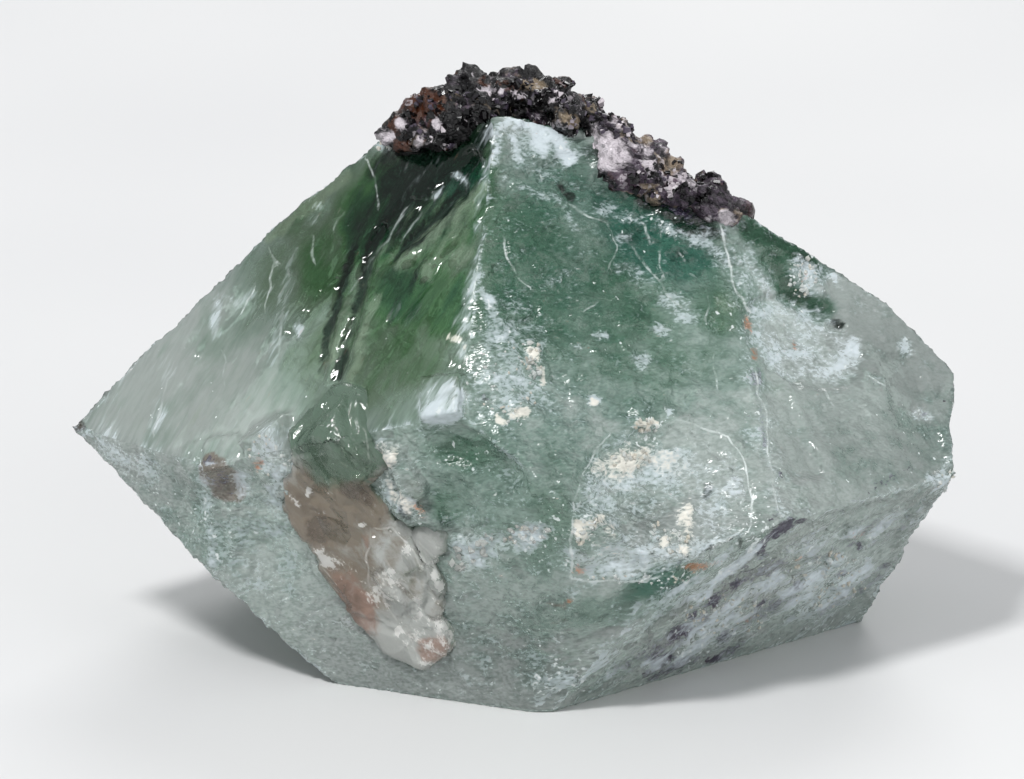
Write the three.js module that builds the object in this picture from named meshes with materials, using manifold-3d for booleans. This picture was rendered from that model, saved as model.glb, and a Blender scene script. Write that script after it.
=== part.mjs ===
// A hand-sized rough fluorite specimen: one green octahedral crystal with cleaved and broken faces,
// a rind of dark matrix rock on its crown, and a cluster of small smoky quartz crystals grown into
// its lower left face. It rests on a flat broken base. Millimetres, +Z up.
//
// The stone is described as its front view shows it: across to the right, up, and toward the viewer,
// from the middle of that view. The viewer looks down on the resting stone by LOOK_DOWN, so place()
// leans that view back until the broken base lies level.
import * as THREE from 'three';
import { ImprovedNoise } from 'three/addons/math/ImprovedNoise.js';
import { TessellateModifier } from 'three/addons/modifiers/TessellateModifier.js';
import { mergeVertices } from 'three/addons/utils/BufferGeometryUtils.js';
import Module from 'manifold-3d';

const wasm = await Module();
wasm.setup();
const noise = new ImprovedNoise();

// Driving dimensions
const LOOK_DOWN = THREE.MathUtils.degToRad(20);
const TOE_UP = -29.6; // the front corner of the base, the lowest point of the front view
const TOE_TOWARD = 7;
const FIT_GAP = 0.4; // clearance between pieces that grew against each other
const BLANK = 120; // edge of the block that the crystal is cleaved from
const FAR = 400; // edge of the blocks that cut it
const CRYSTAL_EDGE = 5.9; // longest edge of the facets on the crystal's broken skin

const COS = Math.cos(LOOK_DOWN);
const SIN = Math.sin(LOOK_DOWN);
const TABLE = TOE_UP * COS + TOE_TOWARD * SIN; // height of the surface under the stone

// Turns a direction of the front view into the part's frame.
function aim([across, up, toward]) {
  return new THREE.Vector3(across, up * SIN - toward * COS, up * COS + toward * SIN);
}

// Turns a place of the front view into the part's frame, with the surface at height 0.
function place(spot) {
  return aim(spot).sub(new THREE.Vector3(0, 0, TABLE));
}

// Corners of the crystal as the front view shows them
const CORNER = {
  leftTip: [-42.2, -2.7, -4],
  crown: [-1.4, 27.4, 8],
  brow: [-4.5, 2, 19.5],
  creaseTop: [20, 16.3, 4],
  creaseFoot: [25, -8.6, 12.1],
  rightTip: [42.3, 2.7, -4.3],
  rightHeel: [42.1, -7.6, 0.6],
  nose: [5, -11, 21],
  chin: [17, -16.9, 16],
  toe: [-2.1, TOE_UP, TOE_TOWARD],
  jaw: [28, -10.8, 11.2],
  jawLeft: [8.9, -23.7, 11.1],
  heelFront: [30.2, -22.3, -13.1],
  heelBack: [34.5, -18.5, -23],
  heelSide: [37.3, -16, -10.2],
  leftKnee: [-29.2, -6.2, 6.9],
  cheek: [-8, -2, 19.2],
  footLeft: [-10.2, -27.9, 2.3],
  leftHip: [-28.2, -16.9, 0.8],
  footFarLeft: [-17, -24.5, -7],
  shoulderLow: [-29, 11, -2.2],
  shoulderHigh: [-12.3, 25.4, 1.6],
  roofRight: [6.9, 26, 5],
  slopeRight: [35.9, 9.5, -3.3],
  backLeft: [-20, 0, -22],
  backHigh: [-8, 14, -20],
  backRoof: [0, 20, -18],
  backSlope: [18, 12, -18],
  backRight: [30, 2, -20],
  backEnd: [36, -5, -18],
  spineTop: [3, 16, -21],
  spineFoot: [1, -14, -31],
  spineLeft: [-14, -3, -26],
  spineRight: [24, -4, -25],
};

// Each flat face passes through three corners
const FACE = {
  window: ['leftTip', 'crown', 'brow'],
  frosted: ['crown', 'brow', 'creaseTop'],
  rightEnd: ['creaseTop', 'creaseFoot', 'rightTip'],
  lowerFront: ['nose', 'toe', 'chin'],
  lowerRight: ['jawLeft', 'jaw', 'heelFront'],
  lowerLeft: ['leftKnee', 'cheek', 'footLeft'],
  leftFlank: ['leftTip', 'leftKnee', 'leftHip'],
  underLeft: ['leftTip', 'leftHip', 'footFarLeft'],
  shoulder: ['leftTip', 'shoulderLow', 'backLeft'],
  neck: ['shoulderLow', 'shoulderHigh', 'backHigh'],
  roof: ['shoulderHigh', 'roofRight', 'backRoof'],
  slope: ['roofRight', 'slopeRight', 'backSlope'],
  rightShoulder: ['slopeRight', 'rightTip', 'backRight'],
  rightFlank: ['rightTip', 'rightHeel', 'backEnd'],
  rightHip: ['rightHeel', 'heelSide', 'heelBack'],
  backLeft: ['spineTop', 'spineFoot', 'spineLeft'],
  backRight: ['spineTop', 'spineFoot', 'spineRight'],
};

const HEART = place([0, 0, 0]); // a point well inside the crystal

// The plane of a face, facing out of the crystal.
function planeOf(face) {
  const plane = new THREE.Plane();
  plane.setFromCoplanarPoints(...FACE[face].map((corner) => place(CORNER[corner])));
  return plane.distanceToPoint(HEART) > 0 ? plane.negate() : plane;
}

const PLANE = Object.fromEntries(Object.keys(FACE).map((face) => [face, planeOf(face)]));

// Solids and meshes

function positionsOnly(geometry) {
  const plain = new THREE.BufferGeometry();
  plain.setAttribute('position', geometry.getAttribute('position').clone());
  if (geometry.index) plain.setIndex(geometry.index);
  return mergeVertices(plain.index ? plain.toNonIndexed() : plain, 1e-4);
}

function toSolid(geometry) {
  const { attributes, index } = positionsOnly(geometry);
  const vertProperties = new Float32Array(attributes.position.array);
  const triVerts = new Uint32Array(index.array);
  return new wasm.Manifold(new wasm.Mesh({ numProp: 3, vertProperties, triVerts }));
}

function toGeometry(solid) {
  const { vertProperties, triVerts } = solid.getMesh();
  const geometry = new THREE.BufferGeometry();
  geometry.setAttribute('position', new THREE.BufferAttribute(new Float32Array(vertProperties), 3));
  geometry.setIndex(new THREE.BufferAttribute(new Uint32Array(triVerts), 1));
  return geometry;
}

function join(solids) {
  return solids.reduce((sum, solid) => sum.add(solid));
}

function carve(solid, cutters) {
  return cutters.reduce((left, cutter) => left.subtract(cutter), solid);
}

// Lays a shape on a surface: its own +Z along the normal, its +Y as near to up in the front view as
// the surface allows, then turned by degrees about the normal.
function layOn(geometry, { point, normal }, turn = 0) {
  const z = normal.clone().normalize();
  const x = aim([0, 1, 0]).cross(z).normalize();
  const y = z.clone().cross(x);
  geometry.rotateZ(THREE.MathUtils.degToRad(turn));
  return geometry.applyMatrix4(new THREE.Matrix4().makeBasis(x, y, z).setPosition(point));
}

// Everything beyond a plane, as a box to cut with.
function beyond(plane, raise = 0) {
  const point = plane.projectPoint(HEART, new THREE.Vector3());
  const box = new THREE.BoxGeometry(FAR, FAR, FAR).translate(0, 0, FAR / 2 + raise);
  return toSolid(layOn(box, { point, normal: plane.normal }));
}

// Moves every point of a shape in and out by broad and close noise. amount gives the height of that
// relief in millimetres at a point. The flat base stays flat.
function roughen(geometry, amount) {
  const rough = positionsOnly(geometry);
  rough.computeVertexNormals();
  const position = rough.getAttribute('position');
  const point = new THREE.Vector3();
  const normal = new THREE.Vector3();
  for (let i = 0; i < position.count; i++) {
    point.fromBufferAttribute(position, i);
    if (Math.abs(point.z) < 1e-3) continue;
    normal.fromBufferAttribute(rough.getAttribute('normal'), i);
    const broad = noise.noise(point.x / 8, point.y / 8, point.z / 8 + 11);
    const close = noise.noise(point.x / 3.1 + 5, point.y / 3.1, point.z / 3.1);
    point.addScaledVector(normal, amount(point, normal) * (0.7 * broad + 0.7 * close));
    position.setXYZ(i, point.x, point.y, point.z);
  }
  return rough;
}

// The bare octahedral body, every face raised by the same amount.
function cleavedBody(raise = 0) {
  const blank = toSolid(new THREE.BoxGeometry(BLANK, BLANK, BLANK).translate(0, 0, BLANK / 2));
  return carve(blank, Object.values(PLANE).map((plane) => beyond(plane, raise)));
}

const bareBody = new THREE.Mesh(toGeometry(cleavedBody()));

// The place on the bare body that the front view shows there, or that lies behind it, and the way
// that its face looks.
function spotOn([across, up], behind = false) {
  const side = behind ? -1 : 1;
  const sight = new THREE.Raycaster(place([across, up, side * BLANK]), aim([0, 0, -side]));
  const [hit] = sight.intersectObject(bareBody);
  return { point: hit.point, normal: hit.face.normal };
}

// A shallow shell-shaped hollow, as a flake leaves where it springs off.
function flakeScar({ at, behind, radius, depth, stretch = 1, turn = 0 }) {
  const ball = (radius * radius + depth * depth) / (2 * depth);
  const steps = Math.round(12 + radius * 2);
  const sphere = new THREE.SphereGeometry(ball, steps, steps).translate(0, 0, ball - depth);
  return toSolid(layOn(sphere.scale(1, stretch, 1), spotOn(at, behind), turn));
}

// A cleavage step: the split starts level with the surface and ends against a riser, bite deep,
// along the upper long side.
function ledge({ at, behind, length, width, bite, turn = 0 }) {
  const box = new THREE.BoxGeometry(length, width, 5).translate(0, 0, 2.5 - bite / 2);
  return toSolid(layOn(box.rotateX(-Math.asin(bite / width)), spotOn(at, behind), turn));
}

// A flat-faced slab sunk into a face. proud is how far its top stands out, and tilt leans that top
// about the slab's own long side.
function slab({ at, size, proud, turn = 0, tilt = 0 }) {
  const box = new THREE.BoxGeometry(...size).translate(0, 0, proud - size[2] / 2);
  box.rotateY(THREE.MathUtils.degToRad(tilt));
  return toSolid(layOn(box, spotOn(at), turn));
}

// A rounded lump with flat sides.
function lump({ at, size, proud, turn = 0, grow = 0 }) {
  const [wide, tall, deep] = size.map((length) => length / 2 + grow);
  const stone = new THREE.DodecahedronGeometry(1).scale(wide, tall, deep);
  return toSolid(layOn(stone.translate(0, 0, proud + grow - deep), spotOn(at), turn));
}

// A blocky crystal with its corners cut off.
function blockyCrystal({ at, size, proud, turn = 0, tilt = 0, grow = 0 }) {
  const [wide, tall, deep] = size.map((length) => length + 2 * grow);
  const settle = (geometry) => {
    geometry.translate(0, 0, proud + grow - deep / 2).rotateY(THREE.MathUtils.degToRad(tilt));
    return toSolid(layOn(geometry, spotOn(at), turn));
  };
  const corners = new THREE.OctahedronGeometry(1.14).scale(wide, tall, deep);
  return settle(new THREE.BoxGeometry(wide, tall, deep)).intersect(settle(corners));
}

// The crystal

// The front corner is bruised flat.
function bruiseCut() {
  const plane = new THREE.Plane();
  const facing = aim([-0.08, 0.3, 0.95]).normalize();
  return beyond(plane.setFromNormalAndCoplanarPoint(facing, place([-3.2, 10.5, 15.7])));
}

const SCARS = [
  { at: [14.2, -9.6], radius: 8.2, depth: 1.7, stretch: 0.93 },
  { at: [27.2, 6.4], radius: 6.8, depth: 0.9, stretch: 1.1, turn: 20 },
  { at: [29.6, 11.2], radius: 3.4, depth: 0.8 },
  { at: [-4.6, -4.4], radius: 4.2, depth: 1.3, stretch: 0.7, turn: -10 },
  { at: [-1.2, -6.8], radius: 3.6, depth: 1.2, stretch: 0.8 },
  { at: [-5.6, -9.6], radius: 3.6, depth: 1, turn: 30 },
  { at: [3.2, 1.4], radius: 3.1, depth: 0.6, turn: 30 },
  { at: [18.2, 12.6], radius: 3.6, depth: 0.6 },
  { at: [11.5, -20.5], radius: 3.6, depth: 0.7 },
  { at: [-1.5, -21], radius: 4.4, depth: 0.6, stretch: 1.3 },
  { at: [27.5, -17.2], radius: 4.6, depth: 0.8 },
  { at: [-31.8, -9.5], radius: 4.2, depth: 0.7 },
  { at: [-22.6, -14.5], radius: 4.4, depth: 0.7 },
  { behind: true, at: [-9, 3], radius: 9, depth: 1.9, stretch: 1.2 },
  { behind: true, at: [-14, -9], radius: 6, depth: 1.4 },
  { behind: true, at: [14, -8], radius: 10, depth: 2 },
  { behind: true, at: [22, 4], radius: 6.5, depth: 1.3 },
  { behind: true, at: [-17, 15], radius: 5, depth: 1 },
  { behind: true, at: [24, 11.5], radius: 4.5, depth: 0.9 },
];

// Ledges, where thin slabs have split away along the cleavage
const LEDGES = [
  { at: [-9.4, 16], length: 19, width: 4.4, bite: 0.9, turn: 52 },
  { at: [-5.8, 13], length: 17, width: 3, bite: 0.7, turn: 57 },
  { at: [-14.4, 11.6], length: 18, width: 5, bite: 0.6, turn: 54 },
  { at: [-5.6, 20.4], length: 7, width: 2.4, bite: 0.7, turn: 44 },
  { at: [-24.6, 7], length: 13, width: 5, bite: 0.5, turn: 47 },
  { at: [23.4, 3.4], length: 24, width: 4, bite: 0.7, turn: -76 },
  { at: [8.4, 18.4], length: 13, width: 4, bite: 0.6, turn: -30 },
  { at: [3.4, 10], length: 10, width: 4, bite: 0.5, turn: 214 },
  { at: [38.4, -2], length: 14, width: 5, bite: 0.7, turn: -84 },
  { at: [16.6, -21.4], length: 20, width: 3, bite: 0.7, turn: 35 },
  { at: [22.4, -17.4], length: 22, width: 4, bite: 0.9, turn: 36 },
  { at: [31.4, -15.6], length: 13, width: 4.5, bite: 0.8, turn: 34 },
  { at: [-33.4, -8.4], length: 10, width: 4, bite: 0.6, turn: -42 },
  { at: [-20.6, -17.8], length: 12, width: 5, bite: 0.6, turn: -38 },
  { behind: true, at: [-20, -14], length: 15, width: 7, bite: 1.3, turn: 24 },
  { behind: true, at: [-24, 3], length: 16, width: 6, bite: 1.2, turn: 40 },
  { behind: true, at: [-4, -12], length: 22, width: 8, bite: 1.5, turn: 12 },
  { behind: true, at: [4, 4], length: 24, width: 6, bite: 1.4, turn: 98 },
  { behind: true, at: [25, -8], length: 16, width: 7, bite: 1.3, turn: -30 },
];

// Small pale blocks fused to the faces
const PALE_BLOCKS = [
  { at: [-6.6, 0.2], size: [4.1, 4.6, 4], proud: 0.9, turn: 14, tilt: 10 },
  { at: [-27.4, -5.2], size: [3.8, 3.6, 3], proud: 0.7, turn: 12, tilt: 4 },
  { at: [-22.4, -5.9], size: [4.2, 7, 4], proud: 0.9, turn: 22, tilt: -12 },
  { at: [-9.8, -6.6], size: [1.9, 5.4, 3], proud: 1.4, turn: 12, tilt: 14 },
  { at: [-8.4, -10.4], size: [1.8, 4.4, 3], proud: 1.1, turn: 48, tilt: -14 },
];

// Crumbs of white mineral fused to the faces
const CRUMBS = [
  { at: [-1.6, 3.6], size: [3.4, 4.2, 2.6], proud: 0.3, turn: 20 },
  { at: [2.6, 3.4], size: [2, 3.4, 2], proud: 0.5, turn: 15 },
  { at: [0.8, -0.6], size: [2.6, 1.8, 2], proud: 0.3, turn: 30 },
  { at: [7.8, -12], size: [2.4, 3.6, 2.4], proud: 0.4 },
  { at: [9.8, -13], size: [2.6, 2.6, 2], proud: 0.1 },
  { at: [12.8, -1.6], size: [3, 1.6, 2], proud: 0.5 },
  { at: [21.2, -4], size: [1.8, 5, 2], proud: 0.4, turn: 16 },
  { at: [-0.6, -14.6], size: [3.4, 1.9, 2], proud: 0.5, turn: 24 },
  { at: [-3.4, -13.6], size: [3.2, 2.2, 2], proud: 0.4, turn: -10 },
  { at: [29.2, 11.4], size: [2.4, 4.6, 2], proud: 0.2, turn: 28 },
  { at: [31.2, -15.2], size: [4.4, 3.2, 3], proud: 0.4, turn: 30 },
];

// How rough the crystal's skin is, from the glassy window to the broken back
function crystalSkin(point, normal) {
  if (normal.dot(PLANE.window.normal) > 0.97) return 0.12;
  if (normal.dot(PLANE.roof.normal) > 0.9) return 0.1;
  if (normal.dot(PLANE.backLeft.normal) > 0.5) return 1.1;
  return 0.6;
}

function crystalSolid() {
  const skin = new TessellateModifier(CRYSTAL_EDGE, 12).modify(toGeometry(cleavedBody()));
  const broken = carve(toSolid(roughen(skin, crystalSkin)), [
    bruiseCut(),
    ...SCARS.map(flakeScar),
    ...LEDGES.map(ledge),
  ]);
  const grown = join([broken, ...PALE_BLOCKS.map(slab), ...CRUMBS.map(lump)]);
  return grown.subtract(quartzSolid(FIT_GAP));
}

// The quartz cluster

const QUARTZ_BLOCKS = [
  { at: [-16.6, -5], size: [6.6, 7, 7], proud: 1.5, turn: 36, tilt: -12 },
  { at: [-16, -11], size: [8.4, 12, 7], proud: 0.9, turn: 26, tilt: -6 },
  { at: [-12.8, -16.6], size: [8, 11, 7], proud: 0.8, turn: 24, tilt: 6 },
  { at: [-10.4, -20.8], size: [6, 9, 6], proud: 0.6, turn: 32, tilt: -6 },
  { at: [-10.6, -15.4], size: [5.2, 7.6, 6], proud: 1.9, turn: 16, tilt: 10 },
];

const QUARTZ_LUMPS = [
  { at: [-8.8, -18.8], size: [4.4, 5.8, 5], proud: 1.5, turn: -20 },
  { at: [-8.6, -22.8], size: [3.8, 5, 5], proud: 1.2, turn: 10 },
  { at: [-8.2, -13.6], size: [4.6, 3.8, 5], proud: 0.9, turn: 26 },
];

function quartzSolid(grow = 0) {
  const blocks = QUARTZ_BLOCKS.map((piece) => blockyCrystal({ ...piece, grow }));
  const lumps = QUARTZ_LUMPS.map((piece) => lump({ ...piece, grow }));
  return join([...blocks, ...lumps]);
}

// The matrix rind

// Rough lumps that follow the crown: the middle of each in the front view, and its half sizes
// across, up and toward
const RIND_LUMPS = [
  [[-10.8, 24.6, 2.4], [2.8, 2.4, 3.4]],
  [[-8.6, 26, 3], [3.4, 2.8, 4]],
  [[-5.8, 26.6, 4.6], [3.4, 3.6, 4]],
  [[-3.2, 27.6, 4.2], [3.2, 3.4, 4.6]],
  [[-0.2, 28.2, 1.8], [3.6, 3, 4.8]],
  [[3, 28.2, 1.6], [3.6, 3.2, 5]],
  [[5.8, 26.2, 3.6], [3.6, 3.8, 4]],
  [[8.8, 24.2, 3.8], [3.6, 3.6, 4]],
  [[11.8, 22, 3.8], [3.6, 3.4, 3.8]],
  [[14.8, 20, 3.4], [3.4, 3, 3.6]],
  [[17.8, 18.7, 2], [3.2, 2.4, 3.4]],
  [[20.4, 17.6, 0.8], [2.4, 1.6, 3]],
  [[-8, 24.6, -2.6], [4.6, 3, 4.6]],
  [[-2, 25.6, -5], [5, 3.2, 5.4]],
  [[4.4, 25, -5.6], [5, 3.2, 5.4]],
  [[10, 22, -5], [5, 3, 5]],
  [[15.6, 18.8, -4.6], [4.4, 2.6, 4.6]],
];

function rindLump([middle, [across, up, toward]]) {
  const detail = middle[2] < 0 ? 1 : 2; // the lumps behind the crown are plainer
  const stone = new THREE.IcosahedronGeometry(1, detail).scale(across, toward, up);
  const { x, y, z } = place(middle);
  return toSolid(roughen(stone.rotateX(-LOOK_DOWN).translate(x, y, z), () => 2.4));
}

function rindSolid() {
  return join(RIND_LUMPS.map(rindLump)).subtract(cleavedBody(FIT_GAP));
}

// The scene

function piece(name, solid, color, roughness) {
  const look = { color, roughness, metalness: 0, flatShading: true };
  const mesh = new THREE.Mesh(toGeometry(solid), new THREE.MeshStandardMaterial(look));
  mesh.name = name;
  return mesh;
}

const specimen = new THREE.Group();
specimen.add(
  piece('fluorite_crystal', crystalSolid(), 0x8fae9f, 0.35),
  piece('matrix_rind', rindSolid(), 0x2b2428, 0.8),
  piece('quartz_cluster', quartzSolid(), 0xa79f95, 0.3),
);

const middle = new THREE.Box3().setFromObject(specimen).getCenter(new THREE.Vector3());
specimen.position.set(-middle.x, -middle.y, 0);

export default specimen;
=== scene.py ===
"""The looks of a rough green fluorite specimen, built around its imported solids.

Everything is in metres in the solids' own frame, +Z up. A place on the stone is given as its front
view shows it, in millimetres from the middle of that view: across to the right, up, and toward the
viewer. FrontView turns such a place into the frame, because the stone is seen from a little above.
"""

import logging
import math
from collections.abc import Callable, Sequence
from dataclasses import dataclass, field
from enum import Enum

import bmesh
import bpy
import numpy as np
from mathutils import Matrix, Vector, noise


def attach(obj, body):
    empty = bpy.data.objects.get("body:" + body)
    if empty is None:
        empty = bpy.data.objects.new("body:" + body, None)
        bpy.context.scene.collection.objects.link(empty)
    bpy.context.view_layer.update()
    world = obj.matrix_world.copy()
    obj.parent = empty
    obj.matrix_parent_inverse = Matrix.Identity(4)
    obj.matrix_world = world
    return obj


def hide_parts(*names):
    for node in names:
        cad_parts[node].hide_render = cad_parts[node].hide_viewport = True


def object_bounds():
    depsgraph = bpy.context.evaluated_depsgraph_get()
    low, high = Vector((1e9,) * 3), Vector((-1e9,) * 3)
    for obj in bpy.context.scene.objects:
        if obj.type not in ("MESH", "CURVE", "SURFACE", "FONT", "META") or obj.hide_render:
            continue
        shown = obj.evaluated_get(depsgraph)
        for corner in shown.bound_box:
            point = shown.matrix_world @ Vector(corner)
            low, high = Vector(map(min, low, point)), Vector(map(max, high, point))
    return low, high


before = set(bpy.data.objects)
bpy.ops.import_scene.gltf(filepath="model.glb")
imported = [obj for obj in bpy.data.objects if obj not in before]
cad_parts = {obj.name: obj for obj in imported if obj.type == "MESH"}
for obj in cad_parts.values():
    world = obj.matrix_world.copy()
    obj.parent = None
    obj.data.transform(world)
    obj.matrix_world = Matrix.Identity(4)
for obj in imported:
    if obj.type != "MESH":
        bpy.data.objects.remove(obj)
CAD_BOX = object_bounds()

LOG = logging.getLogger("fluorite")
MM = 0.001
Spot = tuple[float, float]
Triple = tuple[float, float, float]


# The front view


@dataclass(frozen=True)
class FrontView:
    """The view that the stone is described in, and the way back into the part's frame."""

    look_down: float = math.radians(20)
    toe_up: float = -29.6
    toe_toward: float = 7.0
    centring: Spot = (-0.08, -0.79)

    @property
    def table(self) -> float:
        """Height of the surface under the stone, below the middle of the view, in millimetres."""
        return self.toe_up * math.cos(self.look_down) + self.toe_toward * math.sin(self.look_down)

    def aim(self, direction: Triple) -> Vector:
        """Turns a direction of the view into one of the frame.

        Args:
            direction: Across, up and toward.

        Returns:
            The same direction in the part's frame.
        """
        across, up, toward = direction
        cos, sin = math.cos(self.look_down), math.sin(self.look_down)
        return Vector((across, up * sin - toward * cos, up * cos + toward * sin))

    def place(self, spot: Triple) -> Vector:
        """Turns a place of the view, in millimetres, into one of the frame, in metres."""
        shift = Vector((self.centring[0], self.centring[1], -self.table))
        return (self.aim(spot) + shift) * MM

    def seen(self, points: np.ndarray) -> np.ndarray:
        """Turns points of the frame into places of the view.

        Args:
            points: One row of x, y and z in metres for each point.

        Returns:
            One row of across, up and toward in millimetres for each point.
        """
        cos, sin = math.cos(self.look_down), math.sin(self.look_down)
        x = points[:, 0] / MM - self.centring[0]
        y = points[:, 1] / MM - self.centring[1]
        z = points[:, 2] / MM + self.table
        return np.stack([x, y * sin + z * cos, -y * cos + z * sin], axis=1)


VIEW = FrontView()
BEFORE_ALL = 80  # millimetres toward the viewer, clear of the stone


# The crystal's faces


class Skin(Enum):
    """How a face of the crystal came to be."""

    CLEAVED = "cleaved"
    FROSTED = "frosted"
    GLASSY_BREAK = "glassy_break"
    GRAINY = "grainy"
    STRIATED = "striated"
    BROKEN = "broken"


@dataclass(frozen=True)
class Relief:
    """The heights of a skin's relief in millimetres.

    Attributes:
        swell: Slow waves, about 7 mm long.
        grain: Close bumps, about 1.3 mm wide.
        chips: Small tilted cleavage facets, about 2 mm wide.
        steps: Risers between cleavage terraces.
        step_run: Length of one terrace.
        step_way: The way that the terraces climb, across and up.
        scuff: Share of the skin that is covered by white specks and scratches, 0 to 1.
    """

    swell: float
    grain: float
    chips: float
    steps: float
    step_run: float
    step_way: Spot
    scuff: float


RELIEFS = {
    Skin.CLEAVED: Relief(0.10, 0.03, 0.02, 0.16, 4.6, (0.82, -0.57), 0.12),
    Skin.FROSTED: Relief(0.24, 0.17, 0.20, 0.24, 5.5, (0.40, 0.92), 0.50),
    Skin.GLASSY_BREAK: Relief(0.30, 0.07, 0.08, 0.18, 7.0, (0.95, 0.30), 0.24),
    Skin.GRAINY: Relief(0.24, 0.16, 0.14, 0.18, 4.0, (-0.70, -0.70), 0.66),
    Skin.STRIATED: Relief(0.20, 0.18, 0.20, 0.34, 2.6, (0.50, -0.86), 0.66),
    Skin.BROKEN: Relief(0.34, 0.12, 0.16, 0.36, 5.0, (0.50, 0.80), 0.48),
}


@dataclass(frozen=True)
class Facet:
    """One flat face: the way it looks and a place on it, in the front view, and its skin."""

    facing: Triple
    through: Triple
    skin: Skin


FACETS = (
    Facet((-0.520, 0.404, 0.753), (-42.2, -2.7, -4.0), Skin.CLEAVED),
    Facet((0.345, 0.352, 0.870), (-1.4, 27.4, 8.0), Skin.FROSTED),
    Facet((0.507, 0.357, 0.784), (20.0, 16.3, 4.0), Skin.GLASSY_BREAK),
    Facet((0.030, -0.607, 0.790), (5.0, -11.0, 21.0), Skin.FROSTED),
    Facet((0.510, -0.755, 0.406), (28.0, -10.8, 11.2), Skin.STRIATED),
    Facet((-0.360, -0.490, 0.790), (-8.0, -2.0, 19.2), Skin.GRAINY),
    Facet((-0.650, -0.420, 0.630), (-29.2, -6.2, 6.9), Skin.GRAINY),
    Facet((-0.650, -0.724, -0.230), (-28.2, -16.9, 0.8), Skin.BROKEN),
    Facet((-0.550, 0.600, -0.580), (-29.0, 11.0, -2.2), Skin.BROKEN),
    Facet((-0.510, 0.715, -0.474), (-12.3, 25.4, 1.6), Skin.BROKEN),
    Facet((0.000, 0.965, -0.260), (6.9, 26.0, 5.0), Skin.BROKEN),
    Facet((0.390, 0.860, -0.350), (6.9, 26.0, 5.0), Skin.GLASSY_BREAK),
    Facet((0.610, 0.620, -0.500), (42.3, 2.7, -4.3), Skin.GLASSY_BREAK),
    Facet((0.930, -0.180, -0.330), (42.3, 2.7, -4.3), Skin.BROKEN),
    Facet((0.920, -0.360, -0.130), (42.1, -7.6, 0.6), Skin.GRAINY),
    Facet((-0.080, 0.320, -0.940), (3.0, 16.0, -21.0), Skin.BROKEN),
    Facet((0.110, 0.310, -0.940), (3.0, 16.0, -21.0), Skin.BROKEN),
    Facet((0.000, -0.940, -0.342), (-2.1, -29.6, 7.0), Skin.BROKEN),
)


FACET_BLEND = 0.7  # millimetres over which the skins of two faces blend


class FacetMap:
    """Says which faces of the crystal each point lies by."""

    def __init__(self, places: np.ndarray) -> None:
        """Measures the height of each place over each face.

        Args:
            places: Places of the front view, in millimetres.
        """
        facings = np.array([facet.facing for facet in FACETS])
        facings /= np.linalg.norm(facings, axis=1, keepdims=True)
        self.facings = facings
        offsets = np.array([np.dot(f, facet.through) for f, facet in zip(facings, FACETS)])
        self.heights = places @ facings.T - offsets
        self.nearest = self.heights.argmax(axis=1)
        share = np.exp((self.heights - self.heights.max(axis=1, keepdims=True)) / FACET_BLEND)
        self.shares = share / share.sum(axis=1, keepdims=True)

    def depth(self) -> np.ndarray:
        """How far each place lies over the nearest face: under 0 inside the crystal."""
        return self.heights.max(axis=1)

    def front(self) -> np.ndarray:
        """How far the nearest face of each place looks to the front, 0 to 1."""
        return fade(np.array([FACETS[i].facing[2] for i in self.nearest]), -0.1, 0.2)

    def ways(self) -> np.ndarray:
        """The way that the nearest face of each place looks, in the part's frame."""
        return np.array([VIEW.aim(tuple(self.facings[i])) for i in self.nearest])

    def mix(self, value: Callable[[Facet], float]) -> np.ndarray:
        """Blends a value of the faces over each place.

        Args:
            value: Gives the value of one face.

        Returns:
            The value at each place.
        """
        return self.shares @ np.array([value(facet) for facet in FACETS])


# Colour marks


class Mark(Enum):
    """A mark on the stone, kept in an attribute of this name."""

    GREEN = "green"
    TEAL = "teal"
    # Deep green of the stone, and dark streaks and spots painted as reflection and shade
    DEEP_GREEN_AND_PAINTED_DARK = "deep"
    # Pale green slivers and patches painted as highlights where the window catches the light
    PAINTED_HIGHLIGHT = "gleam"
    FROST = "frost"
    LINE = "line"
    SIDE = "side"
    CHALK = "chalk"
    RUST = "rust"
    EARTH = "earth"
    VIOLET = "violet"
    CLEAR = "clear"
    SCUFF = "scuff"
    WINDOW = "window"
    STRIATED = "striated"


def fade(value: np.ndarray, zero_at: float, one_at: float) -> np.ndarray:
    """A smooth step from 0 to 1.

    Args:
        value: Where on the step each point is.
        zero_at: The value that gives 0.
        one_at: The value that gives 1.

    Returns:
        0 to 1 for each point.
    """
    t = np.clip((value - zero_at) / (one_at - zero_at), 0, 1)
    return t * t * (3 - 2 * t)


@dataclass(frozen=True)
class Patch:
    """A soft oval mark: its middle, its full width and height, and its turn in degrees."""

    across: float
    up: float
    width: float
    height: float
    turn: float = 0.0
    strength: float = 1.0
    soft: float = 0.6

    def cover(self, across: np.ndarray, up: np.ndarray) -> np.ndarray:
        """How strongly the patch covers each place.

        Args:
            across: How far to the right each place is, in millimetres.
            up: How far up it is.

        Returns:
            The cover, from 0 to the patch's strength.
        """
        turn = math.radians(self.turn)
        x, y = across - self.across, up - self.up
        along = (x * math.cos(turn) + y * math.sin(turn)) / (self.width / 2)
        over = (-x * math.sin(turn) + y * math.cos(turn)) / (self.height / 2)
        return self.strength * fade(np.hypot(along, over), 1 + self.soft, 1 - self.soft)


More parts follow.
